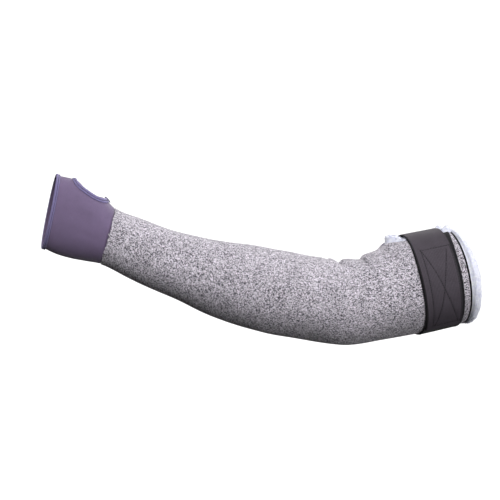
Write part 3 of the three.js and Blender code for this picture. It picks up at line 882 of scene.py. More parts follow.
def pile_tree():
    """Short bent fibres scattered over a cloth, standing out from it."""
    tree, n, start, end = geometry_tree(
        "pile", [("Density", 1e6), ("Length", 0.002), ("Thickness", 0.0004), ("Lean", 0.7), ("Seed", 1)]
    )
    scatter = n.add(
        "GeometryNodeDistributePointsOnFaces",
        {"Mesh": start["Geometry"], "Density": start["Density"], "Seed": start["Seed"]},
        distribute_method="RANDOM",
    ).outputs
    bend = n.first(
        "GeometryNodeCurveQuadraticBezier",
        {"Resolution": 3, "Start": (0, 0, -0.15), "Middle": (0.02, 0, 0.65), "End": (0.55, 0, 0.95)},
    )
    share = n.add("GeometryNodeSplineParameter").outputs["Factor"]
    taper = n.first("GeometryNodeSetCurveRadius", {"Curve": bend, "Radius": n.ranged(share, 0, 1, 1.0, 0.35)})
    fibre = round_tube(n, taper, 3, n.times(n.over(start["Thickness"], start["Length"]), 0.5))

    def random(low, high, offset):
        seed = n.plus(start["Seed"], offset)
        return n.add("FunctionNodeRandomValue", {"Seed": seed, 2: low, 3: high}, data_type="FLOAT").outputs[1]

    lean = n.times(start["Lean"], random(-1.0, 1.0, 3))
    turn = n.first("ShaderNodeCombineXYZ", {"X": lean, "Y": 0.0, "Z": random(0.0, 2 * math.pi, 5)})
    size = n.times(start["Length"], random(0.55, 1.15, 8))
    fibres = turned_copies(n, scatter["Points"], scatter["Normal"], turn, fibre, size)
    close_tree(n, start, end, fibres)
    return tree


GROUPS = {
    "knit stitch": knit_stitch_group,
    "cloth grain": cloth_grain_group,
    "woven ribs": ribs_group,
    "stitch row": stitch_row_tree,
    "wound thread": wound_thread_tree,
    "pile": pile_tree,
}


def grown(name, source, tree_name, inputs):
    """Runs a Geometry Nodes tree on a path or a cloth, and keeps its result in its place as a plain mesh."""
    tree = shared(tree_name)
    modifier = source.modifiers.new(name, "NODES")
    modifier.node_group = tree
    sockets = {item.name: item.identifier for item in tree.interface.items_tree if item.in_out == "INPUT"}
    for socket, value in inputs.items():
        modifier[sockets[socket]] = value
    graph = bpy.context.evaluated_depsgraph_get()
    evaluated = source.evaluated_get(graph)
    mesh = bpy.data.meshes.new_from_object(evaluated, preserve_all_data_layers=True, depsgraph=graph)
    source.modifiers.remove(modifier)
    if not mesh.polygons:
        raise RuntimeError(name + " came out empty")
    mesh.name = name
    piece = linked(name, mesh)
    bpy.data.objects.remove(source)
    return piece


def settled(piece, replaced=None):
    """Every finished piece rides on the one body, and hides the CAD part that it replaces."""
    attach(piece, "root")
    if replaced:
        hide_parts(replaced)
    return piece


def dense(line, closed, step=0.4 * MM):
    """The same line with points close together."""
    line = np.asarray(line, float)
    if closed:
        line = np.concatenate([line, line[:1]])
    gaps = np.linalg.norm(np.diff(line, axis=0), axis=1)
    places = np.concatenate([[0], np.cumsum(gaps)])
    count = max(2, int(places[-1] / step))
    at = np.linspace(0, places[-1], count + 1)
    fine = np.stack([np.interp(at, places, line[:, k]) for k in range(3)], 1)
    return fine[:-1] if closed else fine


def sewn(name, lines, thread, pitch, length, thickness, slant=0.0):
    """Stitches along lines of points, each open or closed. Their sizes are in millimetres."""
    path = path_object(name + " path", [(dense(line, closed), closed) for line, closed in lines])
    stitches = grown(name, path, "stitch row", {
        "Pitch": pitch * MM, "Length": length * MM, "Thickness": thickness * MM, "Slant": slant,
        "Material": thread,
    })
    settled(stitches)


def steps(*stretches):
    """Numbers along a line: each stretch is (from, to, step), and the last number ends the line."""
    values = []
    for low, high, step in stretches:
        count = max(1, round((high - low) / step))
        values += [low + (high - low) * i / count for i in range(count)]
    return np.array(values + [stretches[-1][1]])


def full_turn(count, way=1):
    return np.linspace(0, way * 2 * math.pi, count + 1)[:-1]


def flat_map(across, along):
    """Places on flat cloth, in millimetres."""
    return np.stack(np.broadcast_arrays(across, along), -1)


def round_flat(s, angle, around):
    """A point's place on the flat cloth: round the sleeve, from the underside, and along it."""
    return flat_map((angle - math.pi) * around / (2 * math.pi), s)


# The settings that a user would change.


def number_setting(name, description, default, low, high, **kind):
    return bpy.props.FloatProperty(
        name=name, description=description, default=default, min=low, max=high, **kind
    )


def colour_setting(name, description, default):
    return bpy.props.FloatVectorProperty(
        name=name, description=description, default=default, min=0, max=1, size=3, subtype="COLOR"
    )


class SleeveKnitSettings(bpy.types.PropertyGroup):
    wale: number_setting("Wale width", "Width of one column of knit loops, in millimetres", 1.3, 0.5, 6)
    course: number_setting("Course height", "Height of one row of knit loops, in millimetres", 1.15, 0.5, 6)
    slant: number_setting("Loop slant", "How steeply the two legs of a loop lean, in rows", 1.3, 0, 4)
    flecks: number_setting("Flecks", "Flecks of light and dark fibre along each leg of a loop", 2, 1, 6)
    light_yarn: colour_setting("Light yarn", "Colour of the light yarn", (0.705, 0.662, 0.735))
    dark_yarn: colour_setting("Dark yarn", "Colour of the dark yarn", (0.022, 0.019, 0.028))


class SleeveCuffSettings(bpy.types.PropertyGroup):
    cuff_colour: colour_setting("Cuff colour", "Colour of the stretch jersey", (0.134, 0.098, 0.178))
    # The turned hems are the cuff's own jersey, given a lighter, bluer colour: a painted highlight on the
    # rolled hems.
    hem_highlight_colour: colour_setting("Hem colour", "Colour of the turned hems", (0.165, 0.14, 0.285))
    jersey_wale: number_setting(
        "Jersey wale", "Width of one column of jersey loops, in millimetres", 0.8, 0.3, 3
    )


class SleeveLiningSettings(bpy.types.PropertyGroup):
    fleece_colour: colour_setting("Fleece colour", "Colour of the brushed fleece", (0.86, 0.875, 0.94))
    pile_length: number_setting(
        "Pile length", "Length of the fleece's fibres", 0.0011, 0.0002, 0.01,
        subtype="DISTANCE", unit="LENGTH",
    )
    pile_density: number_setting("Pile density", "Fibres for each square metre of lip", 1.3e6, 0, 3e6)


class SleeveStrapSettings(bpy.types.PropertyGroup):
    strap_colour: colour_setting("Strap colour", "Colour of the elastic webbing", (0.047, 0.039, 0.05))
    band_colour: colour_setting("Band colour", "Colour of the loop fabric", (0.008, 0.007, 0.01))
    thread_colour: colour_setting("Thread colour", "Colour of the sewing thread", (0.006, 0.005, 0.008))
    rib_pitch: number_setting("Rib pitch", "Distance between the strap's ribs, in millimetres", 1.46, 0.5, 5)
    weft_pitch: number_setting(
        "Weft pitch", "Distance between the strap's cross threads, in millimetres", 0.7, 0.2, 4
    )


# The pieces.

# Girths and radii that turn an angle into a length on the flat cloth.
LINING_ROUND = 270
CUFF_ROUND = 180
EDGING_RADIUS = 50
FRONT_HEM_RADIUS = 30
THUMB_HEM_RADIUS = 18
BAND_RADIUS = 48
STRAP_RADIUS = 50

# The teeth of the knit's wrist edge. Each has the outline's points, and a random share of the height.
WRIST_TEETH = 40
WRIST_TOOTH = 1.5
TOOTH_OUTLINE = np.array([0, 0.6, 1, 0.6])
TOOTH_SHARES = (0.5, 1.2)
TOOTH_SEED = 5
TOOTH_FADE = 4

ELBOW_FOLDS_FROM = FOREARM_LENGTH - 32
ELBOW_FOLDS_TO = FOREARM_LENGTH + 40


class SLEEVE_OT_knit(bpy.types.Operator):
    """Knits the heather tube, with its creases at the inner elbow and its slit"""

    bl_idname = "sleeve.knit"
    bl_label = "Knit tube"

    def execute(self, context):
        settings = context.scene.sleeve_knit
        rows = steps(
            (0, 6, 1.5),
            (6, ELBOW_FOLDS_FROM, 3.5),
            (ELBOW_FOLDS_FROM, ELBOW_FOLDS_TO, 0.9),
            (ELBOW_FOLDS_TO, SLIT_START, 2),
            (SLIT_START, SLIT_START + 3, 0.25),
            (SLIT_START + 3, SLIT_START + 10, 0.7),
            (SLIT_START + 10, HEM, 2.5),
        )
        share = np.linspace(0, 1, len(TOOTH_OUTLINE) * WRIST_TEETH + 1)[None, :]
        s = rows[:, None]
        angle = between(as_angle(knit_slit(s), s), share)
        waver = cloth_waver(s, angle)
        height = np.random.default_rng(TOOTH_SEED).uniform(*TOOTH_SHARES, WRIST_TEETH)
        edge = np.repeat(height, len(TOOTH_OUTLINE)) * np.tile(TOOTH_OUTLINE, WRIST_TEETH)
        tooth = WRIST_TOOTH * np.append(edge, 0)[None, :]
        place = s - tooth * (1 - smoothstep(s, 0, TOOTH_FADE))
        piece = wall_piece(
            "knit_tube",
            surface(place, angle, waver),
            surface(place, angle, waver - KNIT_WALL),
            round_flat(s, angle, math.pi * (smooth_value("top", s) + smooth_value("depth", s))),
            knit_slit(rows) == 0,
            knit_material(settings),
        )
        settled(piece, "knit_sleeve")
        return {"FINISHED"}


# The lip's pile grows where the lining has swelled by more than a share of its full swell.
PILE_FROM_SHARE = 0.35
PILE_THICKNESS = 0.00034
PILE_LEAN = 0.9
PILE_SEED = 11


def lining_grids():
    """The fleece lining's two faces, their flat places, which rows are shut, and how far the lip swells."""
    end = HEM + LIP_PAST_HEM
    start = SLIT_START - LINING_START_BELOW_SLIT
    rows = steps(
        (start, SLIT_START - SLIT_LIFT_BEFORE, 3),
        (SLIT_START - SLIT_LIFT_BEFORE, SLIT_START + 7, 1.2),
        (SLIT_START + 7, SLIT_START + 10, 0.4),
        (SLIT_START + 10, HEM, 2.2),
        (HEM, HEM + LIP_SWELL_START, 1.0),
        (HEM + LIP_SWELL_START, end - EDGE_ROUND, 0.8),
    )
    rows = np.concatenate([rows, end - EDGE_ROUND * np.array([0.75, 0.5, 0.3, 0.12, 0.03, 0.0])])
    s = rows[:, None]
    at_slit = np.minimum(s, HEM)
    slit = lining_slit(at_slit)
    knit = np.maximum(knit_slit(at_slit), LINING_COLUMN_ROOM)
    near = np.array([0, 0.01, 0.04, 0.1, 0.17, 0.26, 0.34, 0.45, 0.57, 0.7, 0.85])
    near_length = mix(slit, knit, near[None, :])
    near_angle = as_angle(near_length, s)
    main_angle = between(as_angle(knit, s), np.linspace(0, 1, 111)[None, :])
    angle = np.concatenate([near_angle, main_angle, 2 * math.pi - near_angle[:, ::-1]], 1)
    blank = np.full(main_angle.shape, np.nan)
    length = np.concatenate([near_length, blank, near_length[:, ::-1]], 1)
    open_slit = knit_slit(at_slit)
    past_hem = (s - HEM - LIP_SWELL_START) / LIP_SWELL
    past_slit = np.where(
        np.isnan(length) | (open_slit < LINING_COLUMN_ROOM),
        0,
        (open_slit - np.nan_to_num(length) - SLIT_SWELL_START) / LIP_SWELL,
    )
    swell = smoothstep(np.maximum(past_hem, past_slit), 0, 1)
    to_slit = np.where(np.isnan(length) | (slit == 0), EDGE_ROUND, np.nan_to_num(length) - slit)
    nearest = np.clip(np.minimum(end - s, to_slit) / EDGE_ROUND, 0, 1)
    fullness = mix(0.08, 1, np.sqrt(1 - (1 - nearest) ** 2))
    from_slit = as_length(angle, s) - slit
    share = mix(LIP_CORNER_SHARE, 1, smoothstep(from_slit, 0, LIP_CORNER))
    past = HEM + LIP_SWELL_START
    along = np.where(s <= past, s, mix(past, s, share))
    thin = -KNIT_WALL - CLOTH_GAP - LINING_WALL / 2
    from_knit = np.maximum(0, as_length(angle, s) - open_slit)
    proud = LIP_PROUD + lip_crest(s) * smoothstep(CREST_FADE - from_knit, 0, CREST_FADE)
    middle = mix(thin, proud - LIP_WALL / 2, swell)
    half = mix(LINING_WALL, LIP_WALL, swell) * fullness / 2
    lumps = (
        0.3 * np.sin(11 * angle + s / 1.9)
        + 0.26 * np.sin(17 * angle - s / 2.7 + 1.9)
        + 0.2 * np.sin(29 * angle + s / 1.3 + 0.4)
    ) * swell
    outer = surface(along, angle, middle + half + lumps * 0.8)
    inner = surface(along, angle, middle - half + lumps * 0.5)
    return outer, inner, round_flat(s, angle, LINING_ROUND), slit[:, 0] == 0, swell


class SLEEVE_OT_lining(bpy.types.Operator):
    """Lays in the fleece lining with its soft lip, and brushes up its pile"""

    bl_idname = "sleeve.lining"
    bl_label = "Fleece lining"

    def execute(self, context):
        settings = context.scene.sleeve_lining
        outer, inner, flat, shut, swell = lining_grids()
        material = fleece_material(settings.fleece_colour)
        piece = wall_piece("lining_fleece", outer, inner, flat, shut, material)
        settled(piece, "fleece_lining")
        shares = np.concatenate([swell.ravel()] * 2)
        points = np.concatenate([outer.reshape(-1, 3), inner.reshape(-1, 3)])
        pile = grown("lining_pile", lip_surface(piece, points, shares), "pile", {
            "Density": settings.pile_density, "Length": settings.pile_length,
            "Thickness": PILE_THICKNESS, "Lean": PILE_LEAN, "Seed": PILE_SEED, "Material": material,
        })
        settled(pile)
        return {"FINISHED"}


def lip_surface(piece, points, shares):
    """A copy of the lining that keeps only its lip, for the pile to grow on."""
    tree = KDTree(len(points))
    for i, point in enumerate(points):
        tree.insert(point, i)
    tree.balance()
    build = bmesh.new()
    build.from_mesh(piece.data)
    bare = [v for v in build.verts if shares[tree.find(v.co)[1]] < PILE_FROM_SHARE]
    bmesh.ops.delete(build, geom=bare, context="VERTS")
    mesh = bpy.data.meshes.new("lip")
    build.to_mesh(mesh)
    build.free()
    return linked("lip", mesh)


# The edging's solid core, as shares of the edging's width and wall.
CORE_ALONG = 0.36
CORE_OUT = 0.42


class SLEEVE_OT_edging(bpy.types.Operator):
    """Winds the dark overlock thread round the knit's upper edge"""

    bl_idname = "sleeve.edging"
    bl_label = "Overlocked edge"

    def execute(self, context):
        thread = thread_material("dark_thread", context.scene.sleeve_strap.thread_colour)
        middle = HEM + HEM_GAP + EDGING_WIDTH / 2
        level = -KNIT_WALL / 2
        start = as_angle(knit_slit(HEM), HEM)
        angle = between(start, np.linspace(0, 1, 260))[:, None]
        ring_s = middle + EDGING_WIDTH * CORE_ALONG * np.cos(full_turn(10))
        rings = surface(ring_s, angle, level + EDGING_WALL * CORE_OUT * np.sin(full_turn(10)))
        core = swept_piece("edging_core", rings, flat_map(angle * EDGING_RADIUS, ring_s), False, thread)
        settled(core, "hem_edging")
        line = surface(middle, between(start, np.linspace(0, 1, 420)), level)
        loops = grown("edging_loops", path_object("edging path", [(line, False)]), "wound thread", {
            "Pitch": 1.5 * MM, "Reach": 0.82 * MM, "Thickness": 0.42 * MM, "Material": thread,
        })
        settled(loops)
        return {"FINISHED"}


# The shallow folds in the near side of the cuff, in millimetres: place along the sleeve, degrees
# from the top, width in radians, length, depth.
CUFF_CREASES = [(-30, 78, 0.16, 16, 0.6), (-22, 102, 0.14, 14, 0.5), (-44, 60, 0.2, 12, 0.35)]


def cuff_creases(s, angle):
    depth = 0
    for at, turn, width, length, deep in CUFF_CREASES:
        away = (np.asarray(angle) - math.radians(turn)) / width
        depth = depth + deep * np.exp(-(away**2) - ((s - at) / length) ** 2)
    return depth


class SLEEVE_OT_cuff(bpy.types.Operator):
    """Makes the stretch cuff with its thumb opening and its turned hems"""

    bl_idname = "sleeve.cuff"
    bl_label = "Hand cuff"

    def execute(self, context):
        settings = context.scene.sleeve_cuff
        turns = (1 - np.cos(np.linspace(0, math.pi, 33))) / 2
        opening = mix(THUMB_REAR, THUMB_FRONT, turns)
        shares = np.concatenate([
            np.linspace(-CUFF_TAIL / CUFF_LENGTH, 0, 7)[:-1],
            np.linspace(0, THUMB_REAR, 12)[:-1],
            opening[:-1],
            np.linspace(THUMB_FRONT, 1, 14),
        ])[::-1]
        s = -shares[:, None] * CUFF_LENGTH
        open_angle = thumb_angle(shares)
        angle = between(open_angle[:, None], np.linspace(0, 1, 109)[None, :])
        level = cuff_level(s) - cuff_creases(s, angle)
        piece = wall_piece(
            "cuff_jersey",
            surface(s, angle, level),
            surface(s, angle, level - CUFF_WALL),
            round_flat(s, angle, CUFF_ROUND),
            open_angle < 1e-6,
            jersey_material("stretch_jersey", settings.cuff_colour, settings.jersey_wale),
        )
        settled(piece, "hand_cuff")
        # The hems take a lighter copy of the cuff's jersey: painted highlight.
        front_and_thumb_hem(jersey_material("jersey_hem", settings.hem_highlight_colour, settings.jersey_wale))
        return {"FINISHED"}


# A turned hem's outline, from its open edge to where it meets the cloth again: out and height shares.
HEM_OUTLINE = np.array([
    (-0.12, 0.1), (-0.16, 0.45), (-0.08, 0.8), (0.08, 1.0), (0.3, 1.02), (0.44, 0.86), (0.56, 0.4),
    (0.68, 0.84), (0.9, 0.76), (1.0, 0.4), (1.0, 0.05), (0.5, 0.0),
])

# How much a hem is drawn in by its stitches, above which height share, and where they lie across it.
HEM_PULL = 0.12
HEM_PULL_ABOVE = 0.3
FRONT_STITCHES = 0.56
THUMB_STITCHES = (0.52, 0.64)


def thumb_hem_place(out, turn):
    """s and angle on the cuff, out from the thumb opening's edge, at a turn round it."""
    grown_by = HEM_WIDTH * out
    along = np.cos(turn) * (THUMB_HALF_LENGTH + grown_by)
    side = np.abs(np.sin(turn)) ** THUMB_BLUNTNESS * np.sign(np.sin(turn))
    s = -(THUMB_MIDDLE * CUFF_LENGTH + along)
    return s, side * (math.radians(THUMB_HALF_ANGLE) + as_angle(grown_by, s))


def hem_roll(name, replaced, cloth, s, angle, ripple, flat):
    height = HEM_OUTLINE[:, 1]
    pull = 1 - HEM_PULL * np.sin(ripple) * (height > HEM_PULL_ABOVE)
    rings = surface(s, angle, cuff_level(s) + HEM_GAP + HEM_WALL * height * pull)
    settled(swept_piece(name, rings, flat, True, cloth), replaced)


def front_and_thumb_hem(cloth):
    out = HEM_OUTLINE[:, 0]
    angle = full_turn(240)[:, None]
    s = -CUFF_LENGTH + HEM_WIDTH * out
    flat = flat_map(angle * FRONT_HEM_RADIUS, s)
    hem_roll("front_hem_roll", "front_hem", cloth, s, angle, angle * 60, flat)
    turn = full_turn(192, -1)[:, None]
    s, angle = thumb_hem_place(out, turn)
    flat = flat_map(turn * THUMB_HEM_RADIUS, out * HEM_WIDTH)
    hem_roll("thumb_hem_roll", "thumb_hem", cloth, s, angle, turn * 36, flat)


# How dark the threads are, as shares of the colour of the cloth that they match.
# The hem thread is real stitching, made far darker than the cuff so that it also paints the shade of the
# hem's groove.
CUFF_THREAD_SHADE = 0.2
TACK_THREAD_SHADE = 0.6

# The bar tack behind the thumb opening: its zigzag's steps, from where to where, and reach to each side.
TACK_STEPS = 30
TACK_SPAN = (-1.2, 4.6)
TACK_REACH = 2.0

# The wrist seam: its colour, how far in front of the knit's edge it lies, and how far it wanders.
SEAM_COLOUR = (0.13, 0.1, 0.17)
SEAM_AHEAD = 1.1
SEAM_WANDER = 0.35


class SLEEVE_OT_cuff_stitches(bpy.types.Operator):
    """Sews the hems, the bar tack behind the thumb opening and the wrist seam"""

    bl_idname = "sleeve.cuff_stitches"
    bl_label = "Cuff stitching"

    def execute(self, context):
        colours = context.scene.sleeve_cuff
        dark = thread_material("cuff_thread", [c * CUFF_THREAD_SHADE for c in colours.cuff_colour])
        s = -CUFF_LENGTH + HEM_WIDTH * FRONT_STITCHES
        lines = [(surface(s, full_turn(720), cuff_level(s) + HEM_GAP + HEM_WALL * 0.5), True)]
        for out in THUMB_STITCHES:
            s, angle = thumb_hem_place(out, full_turn(480, -1))
            lines.append((surface(s, angle, cuff_level(s) + HEM_GAP + HEM_WALL * 0.6), True))
        sewn("hem_stitches", lines, dark, pitch=2.3, length=2.0, thickness=0.6)
        tack = thread_material("tack_thread", [c * TACK_THREAD_SHADE for c in colours.hem_highlight_colour])
        self.bar_tack(tack)
        self.wrist_seam(thread_material("seam_thread", SEAM_COLOUR))
        return {"FINISHED"}

    def bar_tack(self, thread):
        zigzag = []
        for i in range(TACK_STEPS + 1):
            t = i / TACK_STEPS
            s = -THUMB_REAR * CUFF_LENGTH + mix(*TACK_SPAN, t)
            reach = (TACK_REACH if i % 2 else -TACK_REACH) * (1 - 0.25 * abs(2 * t - 1))
            bulge = 0.9 + 0.7 * math.sin(math.pi * t)
            zigzag.append(surface(s, as_angle(reach, s), cuff_level(s) + HEM_GAP + bulge))
        sewn("thumb_bar_tack", [(zigzag, False)], thread, pitch=1.1, length=1.9, thickness=1.2)

    def wrist_seam(self, thread):
        angle = full_turn(480)
        s = -SEAM_AHEAD + SEAM_WANDER * np.sin(40 * angle)
        line = surface(s, angle, cuff_level(s) + 0.15)
        sewn("wrist_seam", [(line, True)], thread, pitch=2.1, length=1.1, thickness=0.5, slant=0.9)


# The strap's sewn box and its cross: places across the strap, from its middle, and angles from the top.
BOX_REAR = -12
BOX_FRONT = 16.9
BOX_UPPER_ANGLE = 45.5
BOX_LOWER_ANGLE = 141
CROSS_LINES = [((-12, 46), (14.5, 140)), ((12.6, 51), (-9.6, 139))]

# The short box at the strap's other end: its inset from the strap's edges, and its degrees past that end.
ROOT_INSET = 2.6
ROOT_BOX_FROM = 22
ROOT_BOX_TO = 4

# How deep and how far a stitch line presses into the webbing, and how deep the ribs are, in millimetres.
STITCH_DENT = 0.34
STITCH_DENT_REACH = 0.9
RIB_RELIEF = 0.1

# Points across the strap's face and across its back.
FACE_COLUMNS = 131
BACK_COLUMNS = 19


def strap_place(across, angle):
    """s on the sleeve for a place across the strap, from -half to half its width."""
    drawn = STRAP_DRAWN_IN * (0.5 - across / STRAP_WIDTH) * near_top(angle, 3)
    return HEM - STRAP_FROM_EDGE - STRAP_WIDTH / 2 + across + drawn + STRAP_SHIFT_TOP * near_top(angle, 2)


def box_lines(rear, front, upper, lower):
    """The four sides of a sewn box, each from one (across, angle) to the next, from degrees."""
    top, low = math.radians(upper), math.radians(lower)
    corners = [(rear, top), (front, top), (front, low), (rear, low)]
    return list(zip(corners, corners[1:] + corners[:1]))


def strap_lines():
    """The sewn box with its cross, and the short box that sews the strap's other end down."""
    cross = [tuple((across, math.radians(turn)) for across, turn in line) for line in CROSS_LINES]
    reach = STRAP_WIDTH / 2 - ROOT_INSET
    root = box_lines(-reach, reach, STRAP_ROOT_ANGLE + ROOT_BOX_FROM, STRAP_ROOT_ANGLE + ROOT_BOX_TO)
    return box_lines(BOX_REAR, BOX_FRONT, BOX_UPPER_ANGLE, BOX_LOWER_ANGLE) + cross + root


def near_lines(across, angle, lines):
    """Distance from places on the strap to the nearest stitch line, in millimetres."""
    place = flat_map(across, angle * STRAP_RADIUS)
    nearest = np.full(place.shape[:-1], np.inf)
    for (a_across, a_angle), (b_across, b_angle) in lines:
        a = np.array([a_across, a_angle * STRAP_RADIUS])
        b = np.array([b_across, b_angle * STRAP_RADIUS])
        t = np.clip(((place - a) @ (b - a)) / ((b - a) @ (b - a)), 0, 1)
        nearest = np.minimum(nearest, np.linalg.norm(place - (a + t[..., None] * (b - a)), axis=-1))
    return nearest


def band_place(across, angle):
    """s on the sleeve for a place across the band, which is drawn out towards the edge beside the slit."""
    flare = BAND_FLARE * (0.5 + across / BAND_WIDTH) * near_top(angle, 6)
    drawn = BAND_DRAWN_IN * (0.5 - across / BAND_WIDTH) * near_top(angle, 3)
    return BAND_EDGE - BAND_WIDTH / 2 + across + flare + drawn + STRAP_SHIFT_TOP * near_top(angle, 2)


class SLEEVE_OT_band(bpy.types.Operator):
    """Sews on the dark loop band"""

    bl_idname = "sleeve.band"
    bl_label = "Loop band"

    def execute(self, context):
        settings = context.scene.sleeve_strap
        half = BAND_WIDTH / 2
        across = np.concatenate([
            [-half + 0.25, -half, -half, -half + 0.3],
            np.linspace(-half, half, 27)[1:-1],
            [half - 0.3, half, half, half - 0.25],
            np.linspace(half, -half, 13)[1:-1],
        ])
        level = np.concatenate([
            [0, 0.35, 0.95, BAND_WALL], np.full(25, BAND_WALL), [BAND_WALL, 0.95, 0.35, 0], np.zeros(11),
        ]) + BAND_GAP
        s = BAND_EDGE - half + across
        start = as_angle(knit_slit(s) + BAND_SLIT_CLEARANCE, s)
        angle = between(start, np.linspace(0, 1, 161)[:, None])
        rings = surface(band_place(across, angle), angle, level)
        cloth = loop_material(settings.band_colour)
        piece = swept_piece("band_loop_cloth", rings, flat_map(angle * BAND_RADIUS, s), False, cloth)
        settled(piece, "loop_band")
        thread = thread_material("band_thread", settings.thread_colour)
        lines = []
        for inset in (1.2 - half, half - 1.2):
            at = BAND_EDGE - half + inset
            start = as_angle(knit_slit(at) + BAND_SLIT_CLEARANCE + 1.8, at)
            angle = between(start, np.linspace(0, 1, 400))
            lines.append((surface(band_place(inset, angle), angle, BAND_GAP + BAND_WALL + 0.02), False))
        sewn("band_stitches", lines, thread, pitch=3.0, length=2.3, thickness=0.4)
        return {"FINISHED"}


class SLEEVE_OT_strap(bpy.types.Operator):
    """Weaves the elastic strap and sews its boxes"""

    bl_idname = "sleeve.strap"
    bl_label = "Closing strap"

    def execute(self, context):
        settings = context.scene.sleeve_strap
        half = STRAP_WIDTH / 2
        across = np.concatenate([
            [-half + 0.3, -half, -half - 0.05, -half, -half + 0.2],
            np.linspace(-half + 0.5, half - 0.5, FACE_COLUMNS),
            [half - 0.2, half, half + 0.05, half, half - 0.3],
            np.linspace(half - 0.8, -half + 0.8, BACK_COLUMNS),
        ])
        edge_level = np.array([0, 0.25, 0.75, 1.2, 1.5])
        level = np.concatenate([
            edge_level, np.full(FACE_COLUMNS, STRAP_WALL), edge_level[::-1], np.zeros(BACK_COLUMNS),
        ])
        edge = 1 - smoothstep(np.abs(across), half - 1.6, half - 0.6)
        rib = 0.5 - 0.5 * np.cos(2 * math.pi * across / settings.rib_pitch)
        first, last = math.radians(STRAP_ROOT_ANGLE), math.radians(STRAP_END_ANGLE)
        angle = np.linspace(first, last, 171)[:, None]
        lines = strap_lines()
        dent = STITCH_DENT * np.exp(-((near_lines(across, angle, lines) / STITCH_DENT_REACH) ** 2))
        relief = np.where(level > 1.4, -RIB_RELIEF * (rib * edge) - dent, 0)
        rings = surface(strap_place(across, angle), angle, STRAP_BOTTOM + level + relief)
        flat = flat_map(angle * STRAP_RADIUS, across)
        piece = swept_piece("strap_webbing", rings, flat, False, webbing_material(settings))
        settled(piece, "closing_strap")
        thread = thread_material("strap_thread", settings.thread_colour)
        t = np.linspace(0, 1, 60)
        paths = []
        for (a_across, a_angle), (b_across, b_angle) in lines:
            angle = mix(a_angle, b_angle, t)
            s = strap_place(mix(a_across, b_across, t), angle)
            paths.append((surface(s, angle, STRAP_BOTTOM + STRAP_WALL - 0.22), False))
        sewn("strap_stitches", paths, thread, pitch=2.5, length=2.3, thickness=0.75)
        return {"FINISHED"}


# The stage.

AIM = Vector((-0.09476, 0, 0.05418))
CAMERA_TURN = 5
CAMERA_LIFT = 2
CAMERA_DISTANCE = 1.8
CAMERA_LENS = 125.83
FLOOR_DROP = 0.55
FLOOR_RADIUS = 4.0
WHITE = (1, 1, 1, 1)

# The soft lights: name, place, size in metres, power in watts, and the place that each is aimed at.
LIGHTS = [
    ("key", Vector((-0.35, -1.1, 1.3)), 1.0, 22, AIM),
    ("front", Vector((0.8, -1.45, 0.05)), 1.2, 16.5, AIM),
    ("back", Vector((0.3, 1.3, 1.2)), 1.2, 12, AIM),
    ("edge", Vector((1.3, -0.15, 0.3)), 0.8, 5, Vector((0.13, 0, 0.03))),
]


def aimed(thing, place, target):
    thing.location = place
    thing.rotation_euler = (target - place).to_track_quat("-Z", "Y").to_euler()


def soft_light(name, place, size, power, target):
    lamp = bpy.data.lights.new(name, "AREA")
    lamp.shape = "DISK"
    lamp.size = size
    lamp.energy = power
    aimed(linked(name, lamp), place, target)


def studio_world():
    """Soft light from above, little from below, and plain white behind the object."""
    world = bpy.data.worlds.new("studio")
    bpy.context.scene.world = world
    world.use_nodes = True
    n = Nodes(world.node_tree)
    world.node_tree.nodes.clear()
    up = n.add("ShaderNodeSeparateXYZ", {0: n.add("ShaderNodeTexCoord").outputs["Generated"]}).outputs["Z"]
    glow = n.ranged(up, -0.25, 0.9, 0.02, 0.7, smooth=True)
    light = n.first("ShaderNodeBackground", {"Color": WHITE, "Strength": glow})
    plain = n.first("ShaderNodeBackground", {"Color": WHITE, "Strength": 1.2})
    seen = n.add("ShaderNodeLightPath").outputs["Is Camera Ray"]
    both = n.first("ShaderNodeMixShader", {0: seen, 1: light, 2: plain})
    n.add("ShaderNodeOutputWorld", {"Surface": both})


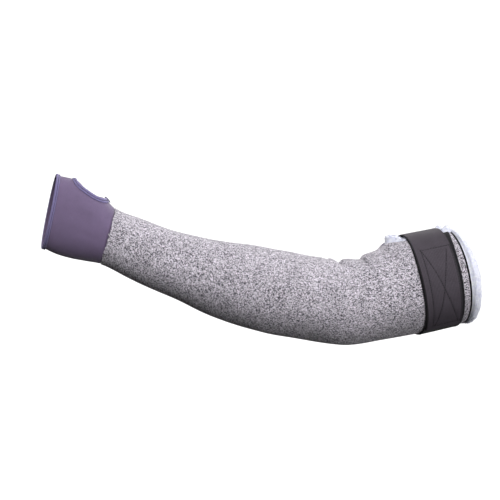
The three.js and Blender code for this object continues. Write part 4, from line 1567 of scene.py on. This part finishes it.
class SLEEVE_OT_stage(bpy.types.Operator):
    """Sets the pale floor, the soft lights and the camera"""

    bl_idname = "sleeve.stage"
    bl_label = "Stage"

    def execute(self, context):
        scene = context.scene
        scene.view_settings.view_transform = "Standard"
        studio_world()
        build = bmesh.new()
        bmesh.ops.create_circle(build, cap_ends=True, segments=96, radius=FLOOR_RADIUS)
        mesh = bpy.data.meshes.new("pale_floor")
        build.to_mesh(mesh)
        build.free()
        floor = linked("pale_floor", mesh)
        floor.location.z = cad_box[0].z - FLOOR_DROP
        material, _, shader = cloth_material("pale_floor", 0.9)
        shader["Base Color"].default_value = (0.85, 0.85, 0.86, 1)
        shader["Emission Color"].default_value = WHITE
        shader["Emission Strength"].default_value = 0.9
        mesh.materials.append(material)
        floor.visible_diffuse = False
        floor.visible_glossy = False
        for light in LIGHTS:
            soft_light(*light)
        lens = bpy.data.cameras.new("camera")
        lens.sensor_width = 36
        lens.lens = CAMERA_LENS
        camera = linked("camera", lens)
        turn, lift = math.radians(CAMERA_TURN), math.radians(CAMERA_LIFT)
        level = math.cos(lift)
        forward = Vector((math.sin(turn) * level, math.cos(turn) * level, -math.sin(lift)))
        aimed(camera, AIM - forward * CAMERA_DISTANCE, AIM)
        scene.camera = camera
        return {"FINISHED"}


class SLEEVE_PT_panel(bpy.types.Panel):
    """The sleeve's settings and its pieces"""

    bl_idname = "SLEEVE_PT_panel"
    bl_label = "Cut resistant sleeve"
    bl_space_type = "VIEW_3D"
    bl_region_type = "UI"
    bl_category = "Sleeve"

    def draw(self, context):
        for group in SETTINGS:
            box = self.layout.box()
            for key in SETTINGS[group].__annotations__:
                box.prop(getattr(context.scene, group), key)
        for operator in OPERATORS:
            self.layout.operator(operator.bl_idname)


SETTINGS = {
    "sleeve_knit": SleeveKnitSettings,
    "sleeve_cuff": SleeveCuffSettings,
    "sleeve_lining": SleeveLiningSettings,
    "sleeve_strap": SleeveStrapSettings,
}
OPERATORS = [
    SLEEVE_OT_knit,
    SLEEVE_OT_lining,
    SLEEVE_OT_edging,
    SLEEVE_OT_cuff,
    SLEEVE_OT_cuff_stitches,
    SLEEVE_OT_band,
    SLEEVE_OT_strap,
    SLEEVE_OT_stage,
]


def register():
    for group, settings in SETTINGS.items():
        bpy.utils.register_class(settings)
        setattr(bpy.types.Scene, group, bpy.props.PointerProperty(type=settings))
    for operator in OPERATORS:
        bpy.utils.register_class(operator)
    bpy.utils.register_class(SLEEVE_PT_panel)


def unregister():
    bpy.utils.unregister_class(SLEEVE_PT_panel)
    for operator in reversed(OPERATORS):
        bpy.utils.unregister_class(operator)
    for group, settings in SETTINGS.items():
        delattr(bpy.types.Scene, group)
        bpy.utils.unregister_class(settings)


def main():
    register()
    sleeve = bpy.ops.sleeve
    sleeve.knit()
    sleeve.lining()
    sleeve.edging()
    sleeve.cuff()
    sleeve.cuff_stitches()
    sleeve.band()
    sleeve.strap()
    sleeve.stage()


if __name__ == "__main__":
    main()
